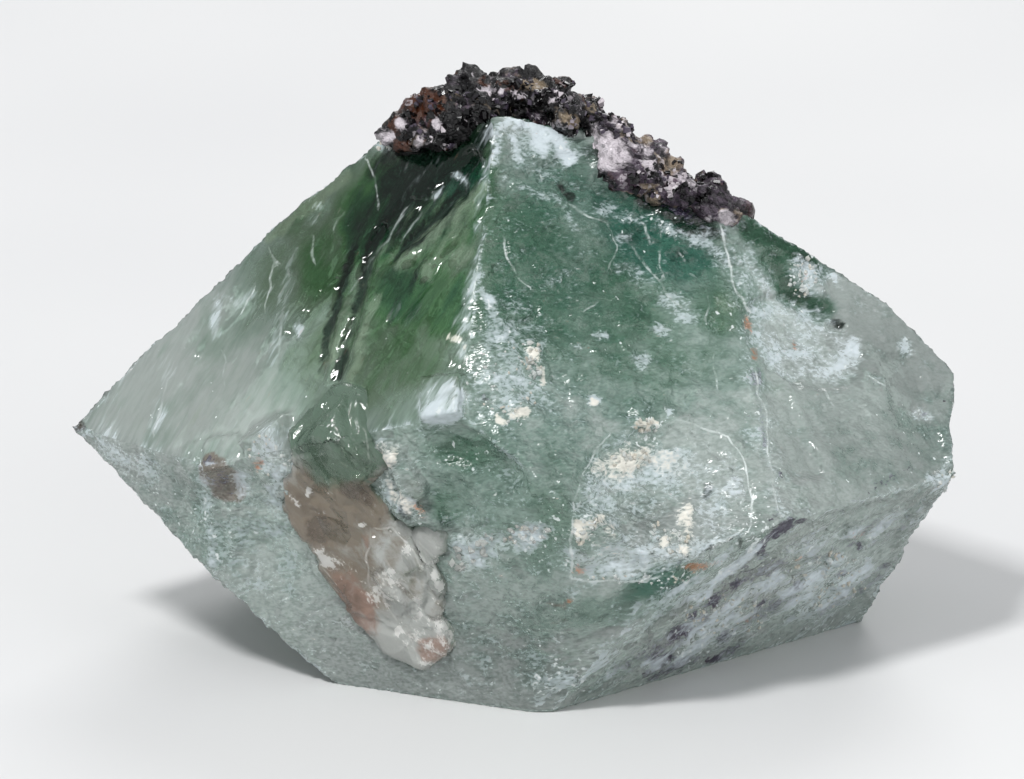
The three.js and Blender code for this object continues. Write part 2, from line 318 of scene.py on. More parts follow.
@dataclass(frozen=True)
class Stroke:
    """A mark along a line through a few places."""

    points: Sequence[Spot]
    width: float
    strength: float = 1.0
    soft: float = 0.7

    def cover(self, across: np.ndarray, up: np.ndarray) -> np.ndarray:
        """How strongly the stroke covers each place.

        Args:
            across: How far to the right each place is, in millimetres.
            up: How far up it is.

        Returns:
            The cover, from 0 to the stroke's strength.
        """
        place = np.stack([across, up], axis=1)
        reach = np.full(len(place), np.inf)
        for start, end in zip(self.points[:-1], self.points[1:]):
            a, way = np.array(start), np.array(end) - np.array(start)
            along = np.clip(((place - a) @ way) / (way @ way), 0, 1)
            reach = np.minimum(reach, np.linalg.norm(place - a - along[:, None] * way, axis=1))
        half = self.width / 2
        return self.strength * fade(reach, half * (1 + self.soft), half * (1 - self.soft))


Shapes = Sequence[Patch | Stroke]


def painted(shapes: Shapes, across: np.ndarray, up: np.ndarray) -> np.ndarray:
    """The strongest cover of several shapes at each place."""
    return np.maximum.reduce([shape.cover(across, up) for shape in shapes])


HAIR_REACH = 1.6  # millimetres that a thin line is felt to either side
HAIR_EDGE = 0.17  # half of its width
HAIR_CORE = 0.03  # half of its bright middle


class Hairline:
    """A line through a few places that the finish draws a fifth of a millimetre thin."""

    def __init__(self, *points: Spot, strength: float = 1.0) -> None:
        """Keeps the places and how strong the line is. Under about 0.9 it is broken up."""
        self.points = np.array(points)
        self.strength = strength

    def offset(self, across: np.ndarray, up: np.ndarray) -> np.ndarray:
        """How far each place is from the line, in millimetres, with a sign for its side.

        Args:
            across: How far to the right each place is, in millimetres.
            up: How far up it is.

        Returns:
            One offset for each place.
        """
        place = np.stack([across, up], axis=1)
        offset = np.full(len(place), np.inf)
        for start, end in zip(self.points[:-1], self.points[1:]):
            way = end - start
            along = np.clip(((place - start) @ way) / (way @ way), 0, 1)
            gap = place - start - along[:, None] * way
            side = np.where(way[0] * gap[:, 1] < way[1] * gap[:, 0], -1.0, 1.0)
            reach = np.linalg.norm(gap, axis=1)
            offset = np.where(reach < np.abs(offset), side * reach, offset)
        return offset


def drawn(lines: Sequence[Hairline], across: np.ndarray, up: np.ndarray) -> tuple[np.ndarray, np.ndarray]:
    """Finds the nearest thin line to each place.

    Args:
        lines: The lines.
        across: How far to the right each place is.
        up: How far up it is.

    Returns:
        How strongly the line is felt, and where the place is beside it: 0.5 is on the line.
    """
    offsets = np.array([line.offset(across, up) for line in lines])
    nearest = np.abs(offsets).argmin(axis=0)
    offset = offsets[nearest, np.arange(len(across))]
    strength = np.array([line.strength for line in lines])[nearest]
    return strength * np.clip(1 - np.abs(offset) / HAIR_REACH, 0, 1), 0.5 + offset / (2 * HAIR_REACH)


# Where the front of the crystal is green, darkest by the crown
CRYSTAL_MARKS: dict[Mark, Shapes] = {
    Mark.GREEN: (
        Patch(-12, 11, 27, 24, -60, 0.5, 0.7),
        Patch(-13.2, 16.6, 7.5, 9.5, -20, 0.9, 0.6),
        Patch(-18.6, 14.4, 6.5, 8, 10, 0.56, 0.7),
        Patch(-10.2, 10.4, 9, 9, 0, 0.74, 0.7),
        Patch(-6.4, 9.0, 7, 9, 0, 0.7, 0.7),
        Patch(-17.4, 12.8, 8, 13, 12, 0.58, 0.7),
        Patch(-20.6, 17.2, 7, 3, 42, 0.5, 0.6),
        Patch(-13.5, 4.0, 15, 12, 0, 0.48, 0.8),
        Patch(-7.8, 19.0, 15, 11, 40, 0.92, 0.6),
        Patch(-11.6, 19.6, 6, 8, 0, 0.8, 0.7),
        Patch(19.6, 9.3, 8, 8, 0, 0.52, 0.7),
        Patch(12.0, 4.0, 20, 10, 0, 0.46, 0.8),
        Patch(2.0, 12.0, 13, 22, 0, 0.6, 0.7),
        Patch(10, 10, 18, 14, 0, 0.58, 0.8),
        Patch(14, 15.5, 16, 8, -30, 0.66, 0.7),
        Patch(4.2, 20.5, 12, 9, -30, 0.42, 0.8),
        Patch(24.9, 12.8, 5, 3.6, -40, 0.62, 0.7),
        Stroke(((22.4, 16.2), (25.6, 14.8), (28.9, 12.9)), 2.4, 0.72),
        Stroke(((24.8, 13.6), (26.6, 10.0), (29.6, 8.4)), 2.0, 0.72),
        Patch(-4.4, -4.8, 8, 4.4, 0, 0.5, 0.7),
        Patch(-5.8, -9.6, 5, 4, 20, 0.48, 0.7),
        Patch(0, -8, 22, 16, 0, 0.28, 0.8),
        Patch(0.8, -20, 24, 14, 0, 0.05, 0.8),
        Patch(13.4, -17.4, 8, 3.0, 22, 0.56, 0.6),
        Patch(3.0, -9.0, 6, 14, 0, 0.4, 0.8),
        Patch(9.0, -19.6, 14, 4, 10, 0.3, 0.8),
        Patch(-16, -6, 8, 10, 0, 0.3, 0.8),
        Patch(-24, -11, 16, 12, 0, 0.14, 0.8),
    ),
    Mark.TEAL: (
        Patch(13.5, 14.8, 12, 6.5, -30, 1.3, 0.7),
        Patch(16.6, 13.6, 5, 5, -30, 1.1, 0.7),
        Patch(11.5, 17.6, 16, 5, -28, 0.8, 0.8),
        Patch(4.6, 9.5, 20, 18, 0, 0.4, 0.8),
        Patch(-2, -9, 12, 9, 0, 0.36, 0.8),
        Patch(5.0, 20.0, 14, 9, -30, 0.6, 0.8),
        Patch(-4.6, 21.0, 6, 4, 30, 0.6, 0.8),
        Patch(6.0, -2.0, 24, 14, 0, 0.45, 0.8),
        Patch(1.0, -20.0, 24, 17, 0, 0.32, 0.7),
        Patch(13.4, -17.4, 8, 3, 22, 0.8, 0.7),
        Patch(-26, -12, 20, 14, 0, 0.3, 0.8),
        Patch(41.0, -3.0, 5, 12, 0, 0.4, 0.8),
    ),
    # Deep green by the crown is the stone's own colour; the long dark window streaks are painted
    # reflections of the dark crust, and small dark spots in hollows are painted shade
    Mark.DEEP_GREEN_AND_PAINTED_DARK: (
        Patch(-7.2, 22.2, 14, 5.8, 26, 0.95, 0.6),
        Patch(-9.6, 22.8, 9, 5.0, 34, 0.9, 0.5),
        Stroke(((-3.8, 21.8), (-8.6, 20.6), (-12.6, 21.2)), 2.2, 0.7),
        Patch(12.0, 20.4, 14, 3.0, -36, 0.9, 0.7),
        Patch(-41.4, -2.3, 1.6, 1.4, 0, 0.8, 0.4),
        Patch(-8.0, 16.4, 11, 9, 40, 0.42, 0.6),
        Patch(-9.8, 19.8, 5.6, 5, 50, 0.8, 0.7),
        Patch(-3.9, 19.6, 2.0, 6, -14, 0.5, 0.7),
        Patch(14.0, 19.4, 14, 4.0, -33, 1.1, 0.7),
        Patch(15.8, 14.0, 5, 3.4, -60, 0.5, 0.7),
        Patch(11.0, 15.6, 3.4, 2.6, -20, 0.62, 0.7),
        Patch(13.0, 18.4, 15, 3.6, -33, 0.55, 0.8),
        Patch(8.0, 19.0, 5, 3.0, -30, 0.45, 0.8),
        # Painted reflections: long dark streaks on the window for the dark crust mirrored in it, laid along
        # shallow grooves
        Stroke(((-10.4, 19.4), (-12.3, 16.4), (-14.1, 10.8), (-15.6, 5.5), (-16.6, 1.9)), 1.3, 0.92),
        Stroke(((-14.6, 14.6), (-15.6, 12.3), (-16.9, 8.3), (-18.1, 2.7)), 1.1, 0.85),
        Stroke(((-4.9, 19.5), (-8.0, 16.4), (-11.0, 13.4)), 1.2, 0.85),
        Stroke(((-8.2, 15.9), (-10.8, 10.8), (-12.0, 5.2)), 1.2, 0.4),
        Stroke(((-8.2, 13.4), (-9.2, 12.2), (-9.9, 10.4)), 0.8, 0.6),
        # Painted shade: small dark spots laid into hollows that the dents carve
        Stroke(((4.6, 20.2), (5.5, 18.9)), 0.6, 0.9),
        Patch(-5.9, -4.0, 3.8, 1.8, -20, 0.5, 0.6),
        Patch(-2.6, 0.2, 1.3, 0.8, -20, 0.9),
        Patch(31.0, 7.2, 1.5, 0.9, 0, 0.9),
        Patch(21.3, -13.1, 0.8, 1.6, -10, 0.7),
        Patch(18.0, -8.7, 0.9, 1.9, -8, 0.7),
        Patch(-35.6, -5.2, 0.9, 1.4, 0, 0.6),
        Patch(-10.0, -10.7, 2.0, 0.8, -35, 0.9),
        Patch(36.0, -16.9, 8, 3, 32, 0.35, 0.8),
        Patch(40.0, -9.4, 4, 2.4, 40, 0.5, 0.8),
        Stroke(((-7.2, -11.3), (-4.0, -12.4), (-2.6, -11.2)), 1.2, 0.5),
        Patch(28.2, -13.4, 3, 1.4, 35, 0.4, 0.8),
    ),
    # Painted highlights: pale green slivers between the dark streaks of the window, and pale patches
    Mark.PAINTED_HIGHLIGHT: (
        Stroke(((-2.9, 20.0), (-6.7, 16.4), (-10.5, 12.9)), 1.7, 0.62),
        Patch(-7.4, 15.0, 10, 8, 45, 0.42, 0.6),
        Stroke(((-3.6, 18.0), (-5.4, 15.2)), 2.0, 0.55),
        Stroke(((-12.6, 9.8), (-14.4, 4.6), (-15.4, 1.6)), 1.1, 0.6),
        Stroke(((-15.6, 9.6), (-17.0, 4.0)), 1.0, 0.4),
        Stroke(((-9.2, 18.0), (-13.6, 12.4)), 0.8, 0.5),
        Patch(-9.6, 13.6, 2.6, 1.1, 48, 0.9, 0.4),
        Patch(-8.0, 12.1, 2.4, 1.7, 45, 0.8, 0.4),
        Patch(-4.7, 13.7, 2.7, 2.2, 40, 0.6, 0.4),
        Stroke(((-23.0, 15.2), (-21.0, 17.2), (-18.2, 19.4), (-15.8, 21.6)), 1.4, 0.7),
        Patch(-31, -1, 14, 7, 10, 0.2, 0.8),
        Patch(-6.4, -1.0, 1.6, 2.4, -20, 0.4, 0.8),
        Patch(20.4, 8.6, 4, 5, 0, 0.5, 0.8),
        Patch(26, 1, 10, 6, 0, 0.3, 0.8),
    ),
    Mark.FROST: (
        Patch(1.2, 27.0, 3.0, 3.4, 0, 0.9, 0.7),
        Stroke(((0.4, 28.2), (-1.2, 25.4), (-1.6, 22.4)), 1.2, 0.85),
        Stroke(((0.8, 28.0), (0.4, 25.4), (0.6, 23.2)), 1.1, 0.8),
        Stroke(((1.2, 28.0), (2.4, 25.8), (2.9, 23.6)), 1.5, 1.0),
        Stroke(((1.5, 28.2), (3.6, 25.8), (5.4, 22.6)), 1.4, 1.0),
        Patch(1.6, 24.8, 8, 6, 0, 0.45, 0.7),
        Stroke(((-2.4, 22.8), (-3.0, 19.0), (-3.3, 13.3), (-3.4, 10.6)), 0.9, 0.45),
        Stroke(((-3.6, 11.3), (-2.0, 9.2), (-1.2, 7.9)), 1.2, 0.62),
        Patch(0.0, 5.4, 6.5, 7.0, 30, 0.44, 0.6),
        Patch(-0.4, 1.4, 8.5, 7.0, 0, 0.47, 0.6),
        Stroke(((-0.9, 20.4), (3.9, 19.1), (4.8, 18.4)), 1.0, 0.42),
        Stroke(((8.6, 17.8), (13.3, 16.9), (17.3, 15.3), (19.9, 14.0)), 1.3, 0.5),
        Patch(5.7, 16.8, 2.4, 1.1, -48, 0.62, 0.4),
        Patch(12.4, 11.1, 3.0, 1.5, -40, 0.44),
        Patch(15.6, 8.8, 4.4, 2.2, -50, 0.48),
        Patch(10.4, 15.4, 1.6, 1.2, 0, 0.55),
        Patch(8.2, 6.4, 1.5, 1.0, 0, 0.5),
        Patch(13.8, 6.6, 1.5, 1.1, 0, 0.46),
        Patch(12.4, 3.6, 1.5, 2.4, 0, 0.5),
        Patch(6.4, 5.1, 0.8, 0.8, 0, 0.85),
        Patch(14.6, -1.3, 0.8, 1.1, 0, 0.85),
        Patch(7.5, 0.0, 1.0, 0.8, 0, 1.0),
        Patch(-6.6, -0.1, 4.6, 5.0, 0, 0.84, 0.3),
        Stroke(((-3.6, 11.6), (-4.3, 8.0), (-4.7, 4.4)), 1.6, 0.72),
        Patch(-7.3, -1.1, 2.6, 2.4, 0, 1.0, 0.5),
        Patch(27.2, 5.6, 12.0, 7.5, -30, 0.53, 0.15),
        Patch(23.4, 10.6, 4.4, 8.0, 16, 0.46, 0.4),
        Patch(30.0, 4.4, 5.6, 5.0, 0, 0.5, 0.4),
        Stroke(((32.4, 5.6), (30.8, 2.8), (27.4, 2.4)), 1.2, 0.75, 0.4),
        Patch(24.3, 10.4, 1.0, 2.6, 18, 0.8),
        Patch(27.7, 11.6, 2.8, 4.6, 28, 0.62, 0.4),
        Patch(30.6, 12.0, 0.9, 2.2, 16, 0.9, 0.5),
        Patch(29.3, 12.2, 1.8, 2.6, 10, 0.45, 0.5),
        Patch(14.1, -9.5, 16.6, 14.4, 0, 0.24, 0.06),
        Patch(12.8, -6.6, 10.5, 4.4, 8, 0.56, 0.5),
        Patch(8.4, -11.0, 4.6, 8.0, 0, 0.42, 0.6),
        Patch(12.0, -14.9, 13, 3.4, 0, 0.62, 0.6),
        Patch(8.2, -8.2, 3.4, 4.0, 30, 0.6, 0.6),
        Patch(18.5, -10.0, 5, 7, 0, 0.34, 0.6),
        Patch(20.8, -8.4, 2.4, 2.6, 0, 0.66, 0.5),
        Stroke(((3.1, -27.6), (8.9, -23.7), (13.9, -19.3), (17.1, -16.9)), 2.2, 0.4),
        Stroke(((-28.1, 9.3), (-28.4, 6.3)), 1.0, 0.6),
        Stroke(((-27.5, 10.1), (-26.3, 9.0), (-24.8, 10.1)), 0.8, 0.5),
        Stroke(((-20.7, 14.4), (-21.7, 8.8), (-22.8, 3.7)), 1.1, 0.5),
        Stroke(((-32.4, 4.2), (-33.4, 1.1), (-33.8, -2.7)), 1.1, 0.42),
        Patch(-20.2, 6.8, 0.8, 1.9, 10, 0.85),
        Patch(-7.1, 19.6, 2.0, 0.8, 38, 0.85),
        Patch(-4.9, 21.1, 1.5, 0.8, -20, 0.8),
        Patch(-12.2, 24.6, 2.2, 2.2, 30, 0.7),
        Patch(-18.6, 18.4, 1.4, 1.0, 30, 0.75),
        Patch(-19.0, 17.0, 0.9, 1.6, -20, 0.55),
        Patch(-22.8, -4.6, 4.4, 6.0, 16, 0.5, 0.3),
        Stroke(((-20.7, -3.0), (-20.1, -4.4), (-20.3, -6.4)), 0.9, 0.9),
        Patch(-21.6, -9.0, 4.0, 5.0, 30, 0.4, 0.6),
        Patch(-25.5, -7.6, 1.4, 2.6, 20, 0.5),
        Patch(-37, -5.0, 8, 3.4, -38, 0.36, 0.7),
        Stroke(((-12.1, -3.9), (-11.9, -6.7), (-11.0, -9.3), (-8.7, -11.0)), 1.7, 0.4, 0.3),
        Patch(-1.6, -13.4, 3.0, 2.6, 20, 0.5),
        Patch(1.6, -12.6, 4.4, 2.2, 30, 0.75),
        Patch(-3.8, -14.2, 3.6, 3.4, 0, 0.52),
        Patch(-24.6, -14.0, 9, 7, -30, 0.3, 0.8),
        Patch(30.0, -18.0, 7.4, 5.6, 36, 0.5, 0.7),
        Patch(19.0, -22.0, 9.0, 4.0, 28, 0.55, 0.7),
        Stroke(((17.4, -18.6), (20.0, -16.4), (23.4, -14.2)), 1.0, 0.7),
        Stroke(((19.4, -20.6), (22.6, -18.2), (25.6, -16.6)), 1.2, 0.8),
        Stroke(((15.6, -24.4), (18.8, -22.4), (21.8, -20.6)), 1.0, 0.76),
        Patch(21.2, -19.0, 1.4, 0.9, 30, 0.95),
        Patch(24.6, -17.0, 1.2, 0.8, 30, 0.95),
        Patch(18.2, -22.0, 1.2, 0.8, 30, 0.9),
        Patch(28.4, -17.0, 1.8, 0.8, 40, 0.9),
        Patch(31.6, -18.6, 1.6, 0.8, 40, 0.9),
        Patch(33.6, -15.4, 1.4, 0.7, 40, 0.85),
        Stroke(((13.0, -25.4), (15.4, -24.6)), 1.0, 0.6),
        Stroke(((27.0, -20.8), (30.6, -18.4), (34.2, -16.0)), 1.3, 0.62),
        Stroke(((25.8, -18.6), (29.2, -16.6), (31.4, -14.9)), 1.1, 0.56),
        Stroke(((26.0, -14.6), (29.0, -13.0), (32.6, -12.4)), 1.1, 0.46),
        Stroke(((33.4, -13.6), (37.0, -10.2)), 1.0, 0.42),
        Patch(28.4, -14.4, 4, 2.0, 30, 0.4, 0.7),
        Patch(39.2, -1.1, 3.0, 1.2, 0, 0.6),
        Patch(41.2, -7.6, 2.6, 3.0, 0, 0.62),
        Patch(37.6, 5.0, 1.6, 1.4, -40, 0.6),
        Patch(-40.8, -3.6, 1.2, 1.0, 0, 0.6),
    ),
    Mark.CHALK: (
        Patch(1.9, 4.3, 1.3, 2.2, 20, 0.95),
        Patch(2.8, 2.4, 1.0, 2.2, 20, 0.85),
        Patch(-5.2, 5.9, 1.4, 1.4, 0, 0.85),
        Patch(-4.4, 4.8, 1.0, 1.2, 0, 0.75),
        Patch(0.9, -1.0, 2.4, 1.6, 0, 0.85),
        Patch(-1.0, -1.7, 1.4, 0.8, -40, 0.85),
        Patch(12.6, -2.2, 2.6, 1.0, -14, 0.95),
        Patch(11.0, -5.5, 4.4, 1.9, 16, 0.85),
        Patch(10.4, -5.9, 7.6, 3.6, 22, 0.55, 0.5),
        Patch(14.6, -6.0, 6.0, 3.0, -24, 0.46, 0.5),
        Patch(7.4, -12.2, 4.4, 3.6, 0, 0.48, 0.4),
        Patch(16.0, -11.6, 3.4, 5.4, -12, 0.48, 0.5),
        Patch(6.4, -12.0, 1.2, 2.3, 0, 0.95),
        Patch(8.0, -11.2, 1.6, 0.9, 30, 0.8),
        Patch(9.2, -12.6, 0.9, 1.6, 0, 0.7),
        Patch(14.3, -13.4, 1.3, 1.2, 0, 0.95),
        Patch(16.5, -11.2, 1.7, 3.6, -12, 0.76),
        Patch(16.4, -13.9, 1.1, 1.2, 0, 0.8),
        Patch(9.0, -14.6, 5.0, 1.8, 0, 0.45),
        Patch(-11.4, -5.2, 1.4, 2.4, -12, 0.72),
        Stroke(((-12.1, -4.2), (-11.8, -6.7), (-10.9, -9.2), (-9.4, -10.6)), 1.2, 0.58, 0.6),
        Patch(-14.1, -11.8, 1.0, 0.5, 10, 1.0),
        Patch(-41.0, -1.2, 0.6, 0.6, 0, 1.0),
        Patch(7.5, -0.1, 0.8, 0.7, 0, 1.0),
        Patch(26.9, -15.2, 1.2, 0.8, 30, 0.6),
    ),
    Mark.RUST: (
        Patch(22.4, 7.1, 0.8, 2.0, 12, 0.72),
        Patch(22.9, 4.3, 0.7, 1.4, 8, 0.62),
        Patch(-8.7, -10.5, 0.9, 1.8, 40, 0.6),
        Patch(17.3, -15.6, 2.6, 0.7, 6, 0.9),
        Patch(17.3, -15.6, 4.6, 1.5, 6, 0.3),
        Patch(6.3, -15.9, 1.5, 0.9, -20, 0.6),
        Patch(26.7, 5.2, 0.5, 0.9, 0, 0.7),
        Patch(26.9, -15.1, 1.3, 0.8, 30, 0.5),
        Patch(32.7, -12.8, 2.6, 0.9, 10, 0.35),
        Patch(-23.9, -6.1, 1.3, 1.6, -30, 0.55),
        Patch(5.4, -18.9, 1.0, 0.6, 0, 0.7),
        Patch(27.6, 11.6, 1.0, 1.6, 0, 0.35),
        Patch(22.4, -21.0, 1.6, 0.7, 30, 0.4),
    ),
    Mark.EARTH: (
        Patch(-15.0, -15.0, 9, 20, 24, 0.5, 0.7),
        Patch(6.9, -14.8, 3.0, 3.0, 0, 0.45),
        Patch(-23.4, -7.6, 1.4, 3.4, 24, 0.45),
        Patch(-9.6, -8.6, 2.2, 4.4, 30, 0.5),
        Stroke(((-28.0, -6.6), (-26.8, -8.4)), 3.2, 0.95, 0.15),
        Patch(-5.8, 0.8, 3.6, 3.4, 0, 0.45, 0.5),
        Patch(22.0, -18.0, 26, 9, 34, 0.5, 0.8),
        Patch(-41.4, -2.3, 1.6, 1.4, 0, 0.5, 0.4),
        Stroke(((-11.7, -5.0), (-11.3, -8.4), (-9.2, -10.8)), 1.4, 0.4, 0.5),
        Patch(-23.0, -4.6, 4.0, 5.0, 16, 0.36, 0.6),
        Patch(-4.0, -14.6, 3.6, 3.0, 0, 0.36),
        Patch(27.6, 11.4, 2.6, 4.2, 28, 0.3),
        Patch(4.4, -19.2, 2.6, 0.7, 8, 0.8),
        Patch(4.6, -20.7, 2.2, 0.6, 12, 0.7),
        Patch(14, 22.4, 9, 3, -32, 0.5),
        Patch(37.5, -12.5, 7, 3, 38, 0.3, 0.8),
    ),
    Mark.VIOLET: (
        Patch(25.4, -12.0, 3.4, 1.3, 38, 1.2),
        Stroke(((13.2, -24.4), (15.4, -23.0), (17.2, -21.4), (18.8, -19.6)), 2.0, 0.66),
        Stroke(((18.6, -20.0), (20.6, -17.6), (22.6, -15.6), (24.2, -13.4)), 1.6, 0.58),
        Stroke(((13.0, -26.0), (18.0, -24.6), (21.4, -23.4)), 2.0, 0.68),
        Stroke(((20.8, -22.0), (24.0, -20.2), (27.2, -18.2)), 1.4, 0.62),
        Stroke(((29.6, -20.4), (33.4, -18.0), (36.4, -15.0)), 1.4, 0.6),
        Stroke(((28.0, -15.4), (31.2, -14.2), (35.0, -11.4)), 1.2, 0.56),
        Stroke(((30.4, -10.8), (34.4, -8.2), (37.6, -6.6)), 1.0, 0.46),
        Patch(23.6, -14.0, 2.0, 1.0, 60, 1.2),
        Patch(27.2, -11.2, 1.2, 0.6, 30, 1.0),
        Patch(14.4, -24.6, 2.6, 1.1, 20, 1.2),
        Patch(19.2, -24.8, 2.0, 0.9, 10, 1.1),
        Patch(17.2, -20.4, 1.2, 0.9, 40, 1.15),
        Patch(21.2, -17.4, 1.4, 0.7, 50, 1.1),
        Patch(27.0, -17.8, 1.6, 0.9, 40, 1.15),
        Patch(23.6, -19.4, 1.2, 0.7, 30, 1.15),
        Patch(31.4, -16.6, 1.4, 0.7, 40, 1.1),
        Patch(20.0, -22.6, 1.8, 0.9, 30, 1.2),
        Patch(33.0, -13.8, 1.2, 0.7, 30, 1.0),
        Stroke(((22.7, 2.6), (23.3, -0.6), (23.9, -4.4)), 0.7, 0.62),
        Stroke(((-28.6, -6.2), (-27.2, -8.4)), 2.2, 0.5, 0.2),
        Patch(24.4, -11.2, 0.9, 2.4, -24, 0.75),
        Patch(19.1, -19.0, 1.4, 1.3, 40, 1.2),
        Patch(15.9, -22.0, 2.9, 1.6, 26, 1.25),
        Patch(18.4, -20.8, 0.6, 1.3, -30, 0.8),
        Patch(22.3, -15.4, 2.2, 0.5, 38, 0.75),
        Patch(20.7, -17.2, 1.4, 0.5, 40, 0.6),
        Patch(25.4, -6.9, 0.8, 0.7, 0, 0.85),
        Patch(23.9, -5.7, 0.9, 0.5, 0, 0.7),
        Patch(16.6, -25.0, 7.0, 1.4, 12, 0.62),
        Patch(23.2, 2.2, 0.8, 3.6, 8, 0.62),
        Patch(22.6, -1.6, 3.2, 0.8, 0, 0.42),
        Patch(36.8, -5.1, 0.8, 0.4, 30, 0.8),
        Patch(39.3, -1.2, 0.9, 0.5, 25, 0.8),
        Patch(41.3, -0.1, 0.7, 0.4, 20, 0.8),
        Patch(34.2, -8.4, 4.0, 0.6, 30, 0.4),
        Patch(20.8, -7.6, 0.9, 0.3, -20, 0.7),
        Patch(5.6, -18.9, 0.8, 0.7, 0, 0.6),
        Patch(7.4, -18.8, 0.5, 1.3, 40, 0.6),
        Patch(22.5, -17.6, 18, 6, 34, 0.56, 0.8),
        Patch(12.6, -23.8, 9, 3.0, 24, 0.56, 0.8),
        Patch(35.0, -12.6, 12, 5, 38, 0.42, 0.8),
        Patch(15.0, 19.4, 11, 3.4, -28, 0.75, 0.7),
    ),
    Mark.CLEAR: (
        Patch(-13, 12, 22, 20, -40, 0.75, 0.8),
        Patch(34, -1.5, 15, 18, 10, 0.4, 0.7),
        Patch(4, 12, 14, 14, 0, 0.2, 0.8),
        Patch(2, -21, 18, 12, 0, 0.35, 0.8),
        Patch(12.6, -10.8, 5, 3, 0, 0.5, 0.6),
    ),
}


CRYSTAL_LINES = (
    Hairline((5.6, -16.6), (5.6, -12.6), (5.8, -9.8), (6.3, -7.4), (7.9, -4.7), (9.0, -3.2), strength=0.96),
    Hairline((11.2, -2.6), (12.1, -2.5), (14.3, -2.5), (15.3, -2.0), (17.3, -2.3), (20.3, -3.5)),
    Hairline((20.3, -3.5), (21.6, -5.5), (22.3, -7.4), (22.7, -9.5), (22.3, -11.9), strength=1.25),
    Hairline((14.3, -2.5), (14.2, -0.6), strength=0.9),
    Hairline((5.6, -16.6), (8.4, -16.9), (10.5, -16.8), (12.7, -16.9), (14.6, -16.4), (16.5, -17.0)),
    Hairline((12.7, -16.7), (11.8, -15.3), strength=0.9),
    Hairline((12.2, -16.7), (12.8, -15.4), strength=0.88),
    Hairline((8.0, -7.8), (6.3, -10.0), strength=0.9),
    Hairline((7.4, -9.2), (10.2, -8.4), (13.0, -8.8), strength=0.88),
    Hairline((16.6, -10.6), (17.8, -12.2), strength=0.85),
    Hairline((19.5, 16.9), (20.3, 14.0), (21.7, 9.7), (22.4, 8.2), strength=1.2),
    Hairline((22.8, 3.0), (23.6, 0.2), (24.2, -3.4), (24.4, -6.4), strength=1.0),
    Hairline((24.4, -6.4), (24.4, -8.4), (25.0, -10.2), strength=0.95),
    Hairline((-13.7, 22.5), (-12.8, 21.0), (-13.0, 18.0), strength=0.97),
    Hairline((-10.0, 18.0), (-12.8, 13.6), (-15.3, 10.3), strength=0.88),
    Hairline((-8.6, 17.6), (-11.6, 13.4), strength=0.84),
    Hairline((-20.9, 14.0), (-21.4, 10.4), (-21.9, 6.6), (-22.6, 3.0), strength=0.88),
    Hairline((-22.2, 13.4), (-23.2, 9.0), (-23.8, 4.6), strength=0.8),
    Hairline((-23.2, 14.9), (-21.9, 12.9), strength=0.9),
    Hairline((-16.2, 0.9), (-16.5, -1.1), strength=0.93),
    Hairline((-32.6, 2.0), (-33.4, -1.0), (-33.9, -3.4), strength=0.82),
    Hairline((-18.6, 13.0), (-19.0, 15.6), strength=0.86),
    Hairline((-17.0, 16.0), (-16.2, 17.8), strength=0.86),
    Hairline((-13.2, -11.8), (-14.0, -14.6), (-13.6, -17.4), strength=0.94),
    Hairline((-10.0, -12.4), (-8.4, -14.4), strength=0.9),
    Hairline((-0.8, 15.2), (-0.4, 13.0), (0.4, 11.6), (1.7, 10.7), strength=0.95),
    Hairline((13.8, 16.4), (13.9, 13.4), (14.4, 10.6), strength=0.9),
    Hairline((18.4, 10.4), (18.4, 7.4), strength=0.86),
    Hairline((5.2, 18.6), (8.6, 16.8), (9.4, 15.2), strength=0.9),
    Hairline((12.2, 17.4), (12.6, 15.0), strength=0.88),
    Hairline((15.4, 15.6), (16.2, 12.6), (17.8, 11.2), strength=0.88),
    Hairline((2.6, 21.4), (3.4, 18.8), strength=0.84),
    Hairline((19.0, 4.0), (19.4, 0.6), strength=0.84),
    Hairline((6.8, 8.2), (8.4, 9.4), strength=0.82),
    Hairline((28.6, 1.4), (31.8, -1.6), strength=0.84),
    Hairline((33.6, 2.4), (36.6, 0.4), strength=0.82),
    Hairline((-25.6, 8.2), (-24.6, 10.6), strength=0.86),
    Hairline((-27.6, 4.6), (-27.0, 1.2), strength=0.84),
    Hairline((8.8, 17.0), (9.6, 14.6), (9.4, 12.8), strength=0.86),
    Hairline((11.4, 14.4), (12.8, 12.4), (14.0, 10.8), (16.0, 8.6), strength=0.9),
    Hairline((0.4, 28.8), (-3.1, 29.4), strength=0.9),
    Hairline((24.5, 13.4), (24.0, 11.0), (24.4, 9.0), strength=0.88),
    Hairline((22.0, 13.6), (23.6, 9.4), (24.0, 6.0), strength=0.82),
)


@dataclass(frozen=True)
class Dent:
    """A hollow, or a raised place: its outline, and how far the skin moves out, in millimetres."""

    shape: Patch | Stroke
    rise: float


